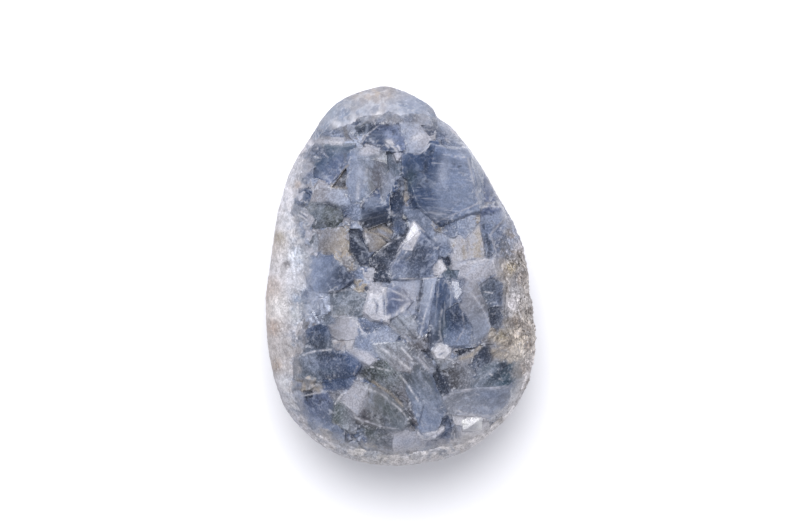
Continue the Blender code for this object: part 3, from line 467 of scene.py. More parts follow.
# %% [markdown]
# A crystal here is a leaning top, cut down along each side of its outline: gently at first, then steeply.
# Some tops break into a second facet, and striped ones have growth steps across them. Each crystal also
# keeps its own turned frame, so that the flaws inside it run its own way and stop at its edge.

# %% Growth steps
LINE_STRETCH, LINE_WIDTH, LEVELS = 0.22, 2.6, 6
# which way the lines of the striped crystals run, in degrees
LINES = {
    "striped_slope": -52, "striped_clear": -28, "striped_white": -50, "window": 0, "pane_stripe": 80,
    "deep_pane": 84, "pale_pane": 80, "grained_block": 85, "green_prism": -52, "long_prism": -60,
    "front_block": -70, "ridge": -45,
}  # fmt: skip


def growth_steps(x, y, angle, seed):
    """Low flat steps that run along a crystal's lines."""
    along = x * math.cos(angle) + y * math.sin(angle)
    across = y * math.cos(angle) - x * math.sin(angle)
    return np.round(clouds_at(along * LINE_STRETCH, across, LINE_WIDTH, 2, seed) * LEVELS) / LEVELS - 0.5


print(len(LINES), "crystals have lines that run a known way")

# %% Second facets and sides
GROWN = 0.6  # how far a crystal has grown past its drawn outline, in mm
MIRROR = np.array([0.04, -0.2])  # the slope that throws the lamp's light straight up


def second_facet(top, x, y, size, slope, chance):
    """Lets a top fall away towards one side, as a facet that turns off the lamp's mirror slope."""
    turn = math.atan2(MIRROR[1] - slope[1], MIRROR[0] - slope[0]) + chance.uniform(-0.8, 0.8)
    fall = chance.uniform(0.1, 0.25)
    ahead = x * math.cos(turn) + y * math.sin(turn)
    return top - fall * np.maximum(ahead - chance.uniform(0.0, 0.6) * size, 0)


def cut_sides(top, x, y, corners, size, chipped, chance):
    """Cuts a top down along each side of its outline, and measures how far inside a place is."""
    lid, inner = top.copy(), np.full(top.shape, 99.0)
    for a, b in zip(corners, np.roll(corners, -1, axis=0)):
        side = (b - a) / max(np.hypot(*(b - a)), 1e-6)
        depth = (y - a[1]) * side[0] - (x - a[0]) * side[1] + GROWN
        drop = chance.uniform(0.0, 0.05) * size + 0.25 * chipped * chance.random()
        gentle, steep = chance.uniform(0.5, 1.4), chance.uniform(1.2, 2.6)
        lid = np.minimum(lid, top - drop + np.minimum(gentle * depth, steep * depth))
        inner = np.minimum(inner, depth)
    return lid, inner


# %% A crystal's own frame and tones
bed = dict(name="bed", first="stone", last="stone", turn=0.0, grain=np.eye(3), offset=np.zeros(3))
raised = [dict(bed, middle=(0, 0), size=60, bruised=0, light=1.0)]
print("the list of raised crystals starts with the", bed["name"])


def own_frame(angle, tones, chance):
    """A crystal's own turned frame for its flaws, and the tones that it goes between."""
    tilts = chance.uniform(-0.4, 0.4), chance.uniform(-0.4, 0.4)
    turn = math.radians(tones[2]) if len(tones) > 1 else 0.0
    offset = np.array([chance.uniform(0, 400) for _ in range(3)])
    grain = np.array(Euler((*tilts, -angle)).to_matrix())
    last = tones[1] if len(tones) > 1 else tones[0]
    bruised = chance.random() ** 0.7
    return dict(first=tones[0], last=last, turn=turn, grain=grain, offset=offset, bruised=bruised)


# %% Raising a crystal
FACET_SHARE, FACET_SIZE = 0.4, 1.5  # how often a top breaks, and from which size on
MARGIN = 1.2  # how far round its outline a crystal is worked out, in mm
owner = np.zeros(ground.shape, int)  # which crystal has each place
inset = np.zeros(ground.shape)  # how far inside that crystal the place is, in mm


def raise_crystal(name, corners, height, slope, tones, chance, relief, step=0.3):
    """Lays one crystal over the grid wherever it is higher than what is there."""
    small = name == "small"
    middle = corners.mean(axis=0)
    size = np.hypot(*(corners - middle).T).mean()
    low, high = corners.min(axis=0) - MARGIN, corners.max(axis=0) + MARGIN
    rows = slice(*np.searchsorted(ROW_Y, (low[1], high[1])))
    columns = slice(*np.searchsorted(COLUMN_X, (low[0], high[0])))
    here = rows, columns
    x, y = grid_x[here], grid_y[here]
    bend = min(1.0, size / 6)
    bent_x, bent_y = x + bend * (wander_x[here] - x), y + bend * (wander_y[here] - y)
    angle = math.radians(LINES[name]) if name in LINES else chance.uniform(0, math.pi)
    steps = growth_steps(x, y, angle, chance.randrange(99))
    top = height + slope[0] * (x - middle[0]) + slope[1] * (y - middle[1]) + relief * steps
    if chance.random() < FACET_SHARE and size > FACET_SIZE:
        top = second_facet(top, x - middle[0], y - middle[1], size, slope, chance)
    lid, inner = cut_sides(top, bent_x, bent_y, corners, size, chips[here], chance)
    free = ~guarded[here] if small else inner > GROWN + 0.1
    higher = lid > surface[here]
    better = higher & free if small else higher | free
    light = chance.uniform(0.7, 1.35) if small else 1.0
    level = np.maximum(lid, surface[here] - step)
    own = own_frame(angle, tones, chance)
    for field, value in ((surface, level), (owner, len(raised)), (inset, inner)):
        field[here] = np.where(better, value, field[here])
    raised.append(dict(own, name=name, middle=middle, size=size, light=light))


# %% [markdown]
# The drawn crystals are laid on from the largest to the smallest. A face that lies in the lamp's mirror
# slope turns white, so faces are pushed away from that slope, apart from the few that do flash on the real
# stone. A slope is also kept below a limit, because a steep one near the rim would stand up as a spike.


# %% Outlines and their sizes
def ordered(outline):
    """The corners of an outline's convex hull, turning left."""
    corners = [Vector(point) for point in outline]
    return np.array([corners[i] for i in convex_hull_2d(corners)])


def plan_size(entry):
    low, high = np.min(entry[4], axis=0), np.max(entry[4], axis=0)
    return float(np.prod(high - low))


largest = max(CRYSTALS, key=plan_size)
print("the largest crystal is the", largest[0], "with", round(plan_size(largest)), "square mm round it")

# %% Slopes that keep off the lamp's mirror
GLINTS = ("bright_chip", "white_chip", "white_knob", "shell_white", "pale_dome", "block_bevel", "flash")
FACING = ("bright_chip", "white_chip", "flash")  # these lie in the mirror slope
SMALL_AREA, SMALL_TURN, LARGE_TURN = 60, 0.32, 0.25  # how far the others are kept from it
STEEPEST = 0.8


def limited(slope, steepest):
    return slope * min(1, steepest / np.hypot(*slope))


def turned_off(slope, entry):
    """A drawn crystal's slope, pushed out of the mirror slope unless the crystal glints."""
    off = slope - MIRROR
    if entry[0] in FACING:
        slope = MIRROR * 0.8
    elif entry[0] not in GLINTS:
        least = SMALL_TURN if plan_size(entry) < SMALL_AREA else LARGE_TURN
        slope = MIRROR + off * max(1, least / max(np.hypot(*off), 0.01))
    return limited(slope, STEEPEST)


print(len(GLINTS), "crystals glint")

# %% Raising the drawn crystals
FOLLOWING, LEAN_SHARE, TILT = 0.85, 0.8, 0.07  # shares of the front's slope, the drawn lean and chance
RISE_SHARE, SUNK = 0.65, -0.6  # crystals with a lower rise are sunk and may cut into others
SHALLOW_STEP, DEEP_STEP = 0.3, 3
GROWTH_RELIEF = 0.06  # the height of the growth steps, in mm
for entry in sorted(CRYSTALS, key=plan_size, reverse=True):
    name, rise, lean, tones, outline = entry
    chance = random.Random(name)
    corners = ordered(outline)
    middle = corners.mean(axis=0)
    tilt = np.array([chance.uniform(-1, 1), chance.uniform(-1, 1)]) * TILT
    slope = front_slope(*middle) * FOLLOWING + LEAN_SHARE * np.array(lean) + tilt
    height = float(front_height(*middle)) + RISE_SHARE * rise
    step = SHALLOW_STEP if rise > SUNK else DEEP_STEP
    raise_crystal(name, corners, height, turned_off(slope, entry), tones, chance, GROWTH_RELIEF, step)
print(len(raised), "crystals raised")

# %% [markdown]
# Between the large crystals the real crust is filled by many small ones, in the colours of what is round
# them. Drawing a thousand by hand would be no use, because nobody would know one from another. They are
# scattered by chance, with a table of places that says which tone is usual there.

# %% Usual tones between the large crystals
# place, radius in mm, tone
FILLS = [
    ((-14.5, 4.9), 4, "beige"), ((-17.4, 9.3), 4, "stone"), ((-11.6, -2.3), 3, "beige"),
    ((-15.9, -18.7), 3, "stone"), ((-5.3, 12.2), 3, "beige"), ((1.7, 23.3), 2, "beige"),
    ((10.6, 13.1), 2, "beige"), ((15.4, 6.9), 3, "beige"), ((21.9, 17.6), 2, "beige"),
    ((30.2, -18.4), 6, "beige"), ((26.1, -15.4), 3, "stone"), ((-25.3, -30.6), 3, "beige"),
    ((19.3, -22.1), 3, "beige"), ((-12.6, 29.2), 2, "pearl"), ((-18.6, 38.2), 3, "pearl"),
    ((-23.6, 38), 3, "pearl"), ((-21.4, 22.4), 4, "stone"), ((-27.4, 23.5), 4, "pearl"),
    ((-27.2, 5.9), 5, "pearl"), ((-23.2, -8.6), 5, "milk"), ((-28.2, -15.5), 4, "stone"),
    ((-29.3, -23.3), 3, "pearl"), ((-18.5, -35.8), 3, "stone"), ((-21.6, -45.2), 5, "stone"),
    ((-9.7, -40.7), 3, "pearl"), ((-2.9, -43.2), 2, "pearl"), ((12.7, -47), 4, "stone"),
    ((21.7, -45.3), 5, "pearl"), ((30.5, -37.4), 5, "pearl"), ((29.2, -4.8), 4, "stone"),
    ((29.4, 11.8), 5, "slate"), ((11.5, 7.8), 4, "mist"), ((-13.7, 42.1), 6, "milk"),
    ((12.8, 41.5), 4, "mist"), ((25.7, 25.8), 5, "violet"), ((-26.5, 31.5), 4, "pearl"),
]  # fmt: skip
USUAL_SHARE = 0.75  # how many take the tone that is usual at their place
chance = random.Random(11)
print(len(FILLS), "places have a usual tone")


# %% The outline and tone of a small crystal
def small_outline(x, y):
    """A squeezed and turned outline of three to five corners."""
    size = chance.choice((0.4, 0.6, 0.8, 1.1, 1.6))
    count = chance.choice((3, 4, 4, 5))
    start = chance.uniform(0, 6.3)
    squeeze, turn = chance.uniform(0.3, 0.9), chance.uniform(0, 6.3)
    cos, sin = math.cos(turn), math.sin(turn)
    corners = []
    for k in range(count):
        angle = start + 2 * math.pi * (k + chance.uniform(-0.25, 0.25)) / count
        u, v = size * math.cos(angle), size * math.sin(angle) * squeeze
        corners.append((x + u * cos - v * sin, y + u * sin + v * cos))
    return corners


def small_tone(x, y):
    near = [tone for place, radius, tone in FILLS if math.dist(place, (x, y)) < radius]
    if near and chance.random() < USUAL_SHARE:
        return chance.choice(near)
    return chance.choice(("slate", "mist", "milk", "stone", "navy"))


# %% Raising the small crystals
TRIES = 3600
guarded = inset > 0.7  # the insides of the drawn crystals
for _ in range(TRIES):
    x, y = chance.uniform(-33, 35), chance.uniform(-52, 46)
    full, away = reach(CRUST, x, y)
    place = int((y - ROW_Y[0]) / STEP), int((x - COLUMN_X[0]) / STEP)
    if away > full or guarded[place]:
        continue
    corners = small_outline(x, y)
    tone = small_tone(x, y)
    slope = front_slope(x, y) * 0.8 + [chance.gauss(0, 0.25), chance.gauss(0, 0.25)]
    height = float(front_height(x, y)) - chance.uniform(0.05, 0.6)
    raise_crystal("small", ordered(corners), height, limited(slope, 1.0), (tone,), chance, 0.0)
print(len(raised), "crystals with the small ones between")

# %% [markdown]
# The crust doesn't end in a step: towards its edge the crystals sink into the rim's rock. Its height is
# eased to the ground front there, the rim gets lumps, and fine grit roughens the small crystals most.

# %% The crust's surface
HIGHEST = 2.4  # no crystal stands further over the ground front, in mm


def over_grid(value_of):
    """What value_of says of each crystal, spread over the places that the crystal owns."""
    return np.array([value_of(crystal) for crystal in raised])[owner]


settle = smooth(3.5, 0.0, inward + 3 * (clouds_at(grid_x, grid_y, 4, 3, 42) - 0.5))
surface = surface + (ground - 0.2 - surface) * settle - 0.5 * np.maximum(-inward, 0)
surface += 1.6 * (clouds_at(grid_x, grid_y, 3.5, 4, 43) - 0.5) * smooth(3, 1, np.abs(inward))
gritty = clouds_at(grid_x, grid_y, 0.9, 2, 6) - 0.5
large = over_grid(lambda crystal: crystal["size"] > 2 and crystal["name"] != "bed")
surface = np.minimum(surface + gritty * np.where(large, 0.02, 0.2), ground + HIGHEST)
print("the crust rises to", round(float(surface[kept].max()), 1), "mm over the table")

# %% [markdown]
# The rock is pale, with stains and with tiny crystals that the grinding cut flush. An image could be laid
# over it, but no picture goes into this model, and it would blur when seen close. The colours are soft
# patches instead, each a place, a radius and a colour, blended by how near a point is to each of them.

# %% Patches of the rock's colour
ROCK = seen(212, 209, 217)
# place, radius in mm, seen colour
PATCHES = [
    (-37, -8, 5, 222, 212, 206), (-36.5, -22, 6, 204, 196, 194), (-36, 9, 5, 208, 196, 186),
    (-33, 20, 8, 236, 235, 243), (-32, 2, 6, 226, 226, 236), (-27, -7, 5, 160, 168, 184),
    (-24, -9, 4, 150, 158, 176), (-30, -17, 4, 176, 174, 182), (-32, -34, 6, 196, 196, 206),
    (-6, 53, 6, 170, 162, 160), (4, 48, 7, 146, 152, 170), (9, 46, 4, 152, 157, 172),
    (-16, 47, 5, 138, 146, 164), (-10, 49, 5, 164, 164, 174), (-20, 44, 3, 166, 170, 184),
    (34, 2, 5, 214, 204, 196), (33, -6, 4, 192, 190, 194), (35, -19, 6, 226, 216, 206),
    (36, -8, 4, 224, 218, 216), (37, -30, 6, 232, 228, 232), (30, 12, 4, 140, 146, 164),
    (31, -19, 5, 216, 204, 190), (-16, -50, 7, 226, 223, 226), (4, -53, 7, 234, 230, 232),
    (-8, -51, 4, 222, 216, 210), (20, -48, 6, 234, 229, 230), (29, -43, 5, 252, 248, 250),
    (33.5, -38, 5, 252, 249, 252), (-15, 5, 4, 186, 170, 152), (-5, 12.5, 4, 184, 170, 146),
    (11.5, 13.5, 2, 190, 168, 146), (20, 9, 4, 176, 168, 162), (20, -23, 3, 160, 144, 118),
    (-26, -31, 4, 196, 184, 172), (-11, -3, 3, 160, 154, 140), (1.7, 24, 2, 160, 148, 132),
    (-18, 28, 4, 120, 116, 112), (-18, 12, 5, 150, 148, 152), (-17, -20, 3, 178, 172, 178),
    (-16.1, 46, 1.6, 104, 118, 144), (-19.6, 47.3, 1.4, 140, 150, 168), (-23.2, 40.8, 1.4, 84, 98, 124),
    (-20.4, 41.4, 1.1, 92, 106, 132), (-10.6, 42.4, 1.2, 56, 70, 78), (-11, 47.2, 1.8, 146, 152, 168),
    (-14, 49.1, 1.3, 158, 163, 176), (-7.4, 47.6, 1.5, 158, 158, 168), (-6.2, 46.2, 0.8, 236, 236, 242),
    (-2.3, 49.1, 2.2, 148, 155, 172), (2.4, 48.3, 2.6, 128, 140, 165), (6.4, 49.1, 2, 140, 150, 172),
    (-5.4, 52.3, 2.3, 184, 170, 158), (-11.3, 51, 2, 192, 182, 176), (-18.1, 43.6, 1, 214, 216, 226),
    (-13.6, 44.8, 0.9, 206, 208, 218), (-21.8, 43.3, 0.9, 122, 134, 156), (-3.6, 45.6, 0.9, 120, 132, 156),
    (-34.8, 11.2, 1.4, 150, 140, 122), (-37.5, -3.1, 2.4, 206, 188, 180),
    (-36.3, -14.7, 1.5, 188, 168, 158), (-35.6, -25.5, 1.1, 174, 158, 148),
    (-32.1, 3.5, 0.8, 112, 110, 116), (-27.8, 23.2, 0.9, 76, 88, 116), (-29.4, 25.5, 1.2, 200, 186, 180),
    (-29, 6.2, 3, 214, 222, 236), (-28.6, -6.6, 1, 146, 160, 184), (-29.4, -10.8, 1.1, 218, 220, 224),
    (-31.3, -19.3, 1.8, 162, 160, 164), (-30.5, -36.3, 1.8, 192, 194, 202),
    (-33.5, -30.5, 1.4, 238, 238, 244), (-32.5, 14.5, 2.2, 232, 232, 240), (-34.5, -9, 2, 238, 236, 240),
    (30.6, 6.8, 2.2, 106, 116, 140), (33.6, 4.1, 0.9, 62, 58, 54), (31.7, 2.4, 1.4, 170, 154, 122),
    (33.8, 0.4, 1.5, 104, 106, 120), (32.8, -2.8, 2, 90, 93, 108), (36.5, -2.8, 1.4, 212, 202, 194),
    (31.7, -7.5, 1.6, 196, 192, 200), (34.9, -8.1, 1.8, 146, 136, 130), (29.6, -10.7, 1.2, 148, 149, 158),
    (32.8, -12.8, 1.1, 116, 102, 92), (35.9, -12.8, 1.6, 198, 188, 180), (36.5, -19.2, 1.1, 112, 99, 94),
    (33.8, -17.1, 1.8, 198, 184, 170), (29.6, -19.7, 2.2, 230, 214, 200), (32.8, -21.9, 2.2, 238, 228, 220),
    (29, -16.6, 1.1, 148, 138, 110), (37, -25.6, 1.6, 220, 212, 212), (32.2, 11.6, 1.8, 158, 164, 184),
    (28.5, 11.6, 2, 102, 114, 142), (34.8, 8, 1.4, 186, 180, 184),
]  # fmt: skip
print(len(PATCHES), "patches on rock of", np.round(ROCK, 2))

# %% [markdown]
# Where crystals are ground flush, the rock shows their cut sections: flat cells with pale borders. Blender
# has a cell texture for that, but here the same cells are needed as colours on points, so seeds are strewn
# over the plan and each place belongs to the nearest seed. The gap to the second nearest gives the border.

# %% Sections of crystals ground flush
SEEDS = np.random.default_rng(7).uniform((-66, -82), (66, 82), (6300, 2))
SEED_TREE = KDTree(len(SEEDS))
for index, seed in enumerate(SEEDS):
    SEED_TREE.insert((*seed, 0), index)
SEED_TREE.balance()
BENT = 2.4  # how far a cell's border strays from its straight line, in mm


def sections(x, y):
    """Crystals ground flush: a number for each, the distance to its border in mm, and how deep it looks."""
    values = np.random.default_rng(8).random((len(SEEDS), 2))
    bent_x = x + BENT * (clouds_at(x, y, 2.2, 4, 36) - 0.5)
    bent_y = y + BENT * (clouds_at(x, y, 2.2, 4, 37) - 0.5)
    found = [SEED_TREE.find_n((u, v, 0), 2) for u, v in zip(bent_x.ravel(), bent_y.ravel())]
    first = np.array([pair[0][1] for pair in found]).reshape(x.shape)
    gap = np.array([pair[1][2] - pair[0][2] for pair in found]).reshape(x.shape)
    return 0.5 * values[first, 0] + 0.5 * clouds_at(x, y, 5, 3, 38), gap, 0.3 + 0.7 * values[first, 1]


print(len(SEEDS), "seeds over the plan")

# %% The rock's colour over the plan
PATCH_WEIGHT, SMALL_PATCH = 3, 5  # patches smaller than this radius weigh more, or they would drown
GLASSY_DARK, GLASSY_PALE, BROWN = seen(112, 126, 152), seen(222, 224, 234), seen(148, 139, 135)


def patch_colours(x, y, shown):
    wobble = 0.75 + 0.7 * clouds_at(x, y, 5, 3, 31)
    total, weight = np.ones((*x.shape, 3)) * ROCK * 0.5, np.full(x.shape, 0.5)
    for patch_x, patch_y, radius, *colour in PATCHES:
        far = (x - patch_x) ** 2 + (y - patch_y) ** 2
        near = np.exp(-far / (radius * wobble) ** 2) * shown * PATCH_WEIGHT * max(1, SMALL_PATCH / radius)
        total, weight = total + near[..., None] * seen(*colour), weight + near
    return total / weight[..., None]


def rock_tint(x, y, shown):
    """The rock's colour over the plan. shown is 1 on the front and fades to 0 round the sides."""
    total = patch_colours(x, y, shown)
    edge_here, out_here = reach(CRUST, x, y)
    beyond = smooth(6.0, 0.0, out_here - edge_here) * shown
    cut, border, depth = sections(x, y)
    sided = np.maximum(smooth(24, 14, x), 1.2 * smooth(11, 20, y))
    cap = smooth(36, 42, y)
    glassy = np.maximum(beyond * sided, cap * shown) * smooth(0.4, 0.55, cut)
    total = lay(total, GLASSY_DARK, (0.8 - 0.33 * cap) * glassy * depth)
    total = lay(total, GLASSY_PALE, (0.6 - 0.3 * cap) * glassy * smooth(0.35, 0.1, border))
    stained = smooth(0.52, 0.64, clouds_at(x, y + 40, 2.4, 4, 33))
    total = lay(total, BROWN, stained * shown * (0.2 + 0.6 * smooth(20, 34, x)))
    speckle = 0.56 * clouds_at(x, y, 1.1, 4, 34)
    return total * (0.72 + 0.22 * smooth(28, 34, x) + speckle)[..., None]


print("the rock's colour at the foot:", np.round(rock_tint(np.array([0.0]), np.array([-52.0]), 1.0)[0], 2))

# %% [markdown]
# Each crystal's colour goes from its first tone to its last. Real celestite is cloudy inside, so veils,
# dark gaps and feathers are laid over it. They run in the crystal's own turned frame, lengthwise, and stop
# at its border, which is what makes neighbours look like separate crystals.

# %% From one tone to the other
CLEAR = (
    "window", "tall_milky", "tall_blue", "deep_pane", "pale_pane", "pane_stripe", "fan", "shell_blue",
    "long_prism", "front_block", "fan_low", "grey_face", "left_blue", "window_dark", "pale_disc",
    "left_main", "edge_blue",
)  # fmt: skip
middles = over_grid(lambda crystal: crystal["middle"])
turns = over_grid(lambda crystal: crystal["turn"])
along = (grid_x - middles[..., 0]) * np.cos(turns) + (grid_y - middles[..., 1]) * np.sin(turns)
share = smooth(-0.9, 0.9, along / over_grid(lambda crystal: crystal["size"]))[..., None]
tone = over_grid(lambda crystal: TONES[crystal["first"]][1]) * (1 - share)
tone = tone + over_grid(lambda crystal: TONES[crystal["last"]][1]) * share
tone = tone * over_grid(lambda crystal: crystal["light"])[..., None]
veil = over_grid(lambda crystal: TONES[crystal["first"]][2])
dust = over_grid(lambda crystal: 0.05 if crystal["name"] in CLEAR else TONES[crystal["first"]][3])
veil_tone = over_grid(lambda crystal: VEILS[TONES[crystal["last"]][0]])
gloom_tone = over_grid(lambda crystal: GLOOMS[TONES[crystal["last"]][0]])
print("mean tone of the crystals:", np.round(tone.mean(axis=(0, 1)), 2))

# %% Veils, gaps and feathers
SWIRL = 2.5  # how far a veil strays sideways, in mm
at = np.stack([grid_x, grid_y, surface], axis=-1)
grains = np.array([crystal["grain"] for crystal in raised])
grain = np.einsum("...j,...kj->...k", at, grains[owner]) + over_grid(lambda crystal: crystal["offset"])
lengthwise = grain[..., 0] + SWIRL * (clouds_at(grid_x, grid_y, 6, 3, 11) - 0.5)
crosswise = grain[..., 1] + SWIRL * (clouds_at(grid_x, grid_y, 6, 3, 10) - 0.5)
pale = smooth(0.12, 0.45, tone.mean(axis=-1))
deep = clouds_at(lengthwise * 0.5, crosswise, 5.5, 4, 12)
tone = tone * (1.0 + (1.7 - 0.8 * pale) * (deep - 0.5))[..., None]
milky = smooth(0.5, 0.75, clouds_at(lengthwise * 0.3, crosswise, 3.5, 4, 13)) * (0.25 + veil)
tone = lay(tone, veil_tone, np.minimum(milky, 0.8) * (1 - pale))
gloomy = smooth(0.5, 0.68, clouds_at(lengthwise * 0.6, crosswise, 4.5, 4, 14)) * (1 - pale)
tone = lay(tone, gloom_tone, 0.6 * gloomy * smooth(0.75, 0.3, veil))
feather = 1 - np.abs(2 * clouds_at(lengthwise * 0.35, crosswise, 4.0, 3, 16) - 1)
tone = lay(tone, seen(200, 206, 222), 0.5 * smooth(0.93, 0.99, feather) * smooth(0.4, 0.7, deep))
print("share of the crust that is pale:", round(float((pale > 0.5).mean()), 2))

# %% [markdown]
# A crystal's edges are bruised white where they stand over a neighbour. A pointiness node could find them,
# but it depends on the mesh and can't tell which side is higher. The grid knows both: each place looks
# round for the nearest place with another owner, and compares the heights.

# %% Broken edges
LOOK_CELLS, LOOK_FAR = 5, 5.2  # how far round a place is searched, in steps of the grid
EDGE_WIDTH = 0.22  # in mm
nearest, step_down = np.full(owner.shape, 99.0), np.zeros(owner.shape)
for i in range(-LOOK_CELLS, LOOK_CELLS + 1):
    for j in range(-LOOK_CELLS, LOOK_CELLS + 1):
        distance = math.hypot(i, j) * STEP
        if distance == 0 or distance > LOOK_FAR * STEP:
            continue
        there, level = (np.roll(field, (i, j), axis=(0, 1)) for field in (owner, surface))
        closer = (there != owner) & (distance < nearest)
        nearest = np.where(closer, distance, nearest)
        step_down = np.where(closer, surface - level, step_down)
bruised = over_grid(lambda crystal: crystal["bruised"])
broken = smooth(0.42, 0.62, clouds_at(grid_x, grid_y, 1.8, 3, 15))
edge = np.exp(-np.maximum(nearest - STEP, 0) / EDGE_WIDTH) * bruised * broken
edge = edge * smooth(-0.25, 0.25, step_down)
lined = over_grid(lambda crystal: 1.0 if crystal["name"] in LINES else 0.25)
print("bruised share of the crust:", round(float((edge > 0.3).mean()), 3))

# %% [markdown]
# In places the crystals melt into one another without a sharp border, and elsewhere pale flecks and dark
# specks gather, mostly along the borders. The melting is a blur of the colours, laid on only where a slow
# noise allows it. The flecks are the tops of a fine noise.


# %% Melting borders and flecks
def softened(field, reach_mm):
    """A field of colours blurred over the plan."""
    span = np.arange(-3 * reach_mm, 3 * reach_mm + STEP, STEP)
    weights = np.exp(-((span / reach_mm) ** 2))
    weights /= weights.sum()
    for axis in (0, 1):
        field = np.apply_along_axis(np.convolve, axis, field, weights, mode="same")
    return field


melted = smooth(0.42, 0.6, clouds_at(grid_x, grid_y, 6, 3, 17))
keen = over_grid(lambda crystal: crystal["name"] in GLINTS)
tone = tone + (softened(tone, 0.8) - tone) * ((0.1 + 0.75 * melted) * ~keen)[..., None]
edge = edge * (1 - 0.5 * melted)
gathered = smooth(0.4, 0.62, clouds_at(grid_x, grid_y, 5, 3, 19))
flecks = smooth(0.64, 0.7, clouds_at(grid_x, grid_y, 0.7, 2, 18)) * gathered
tone = lay(tone, seen(214, 216, 228), flecks * (0.3 + 0.65 * np.exp(-nearest / 0.7)))
gathered = smooth(0.4, 0.6, clouds_at(grid_x, grid_y, 4, 3, 29))
specks = smooth(0.66, 0.72, clouds_at(grid_x, grid_y, 0.7, 2, 28)) * gathered
tone = lay(tone, seen(46, 52, 68), 0.6 * specks * (1 - pale))
print("flecks on", round(float((flecks > 0.5).mean()), 3), "of the crust")
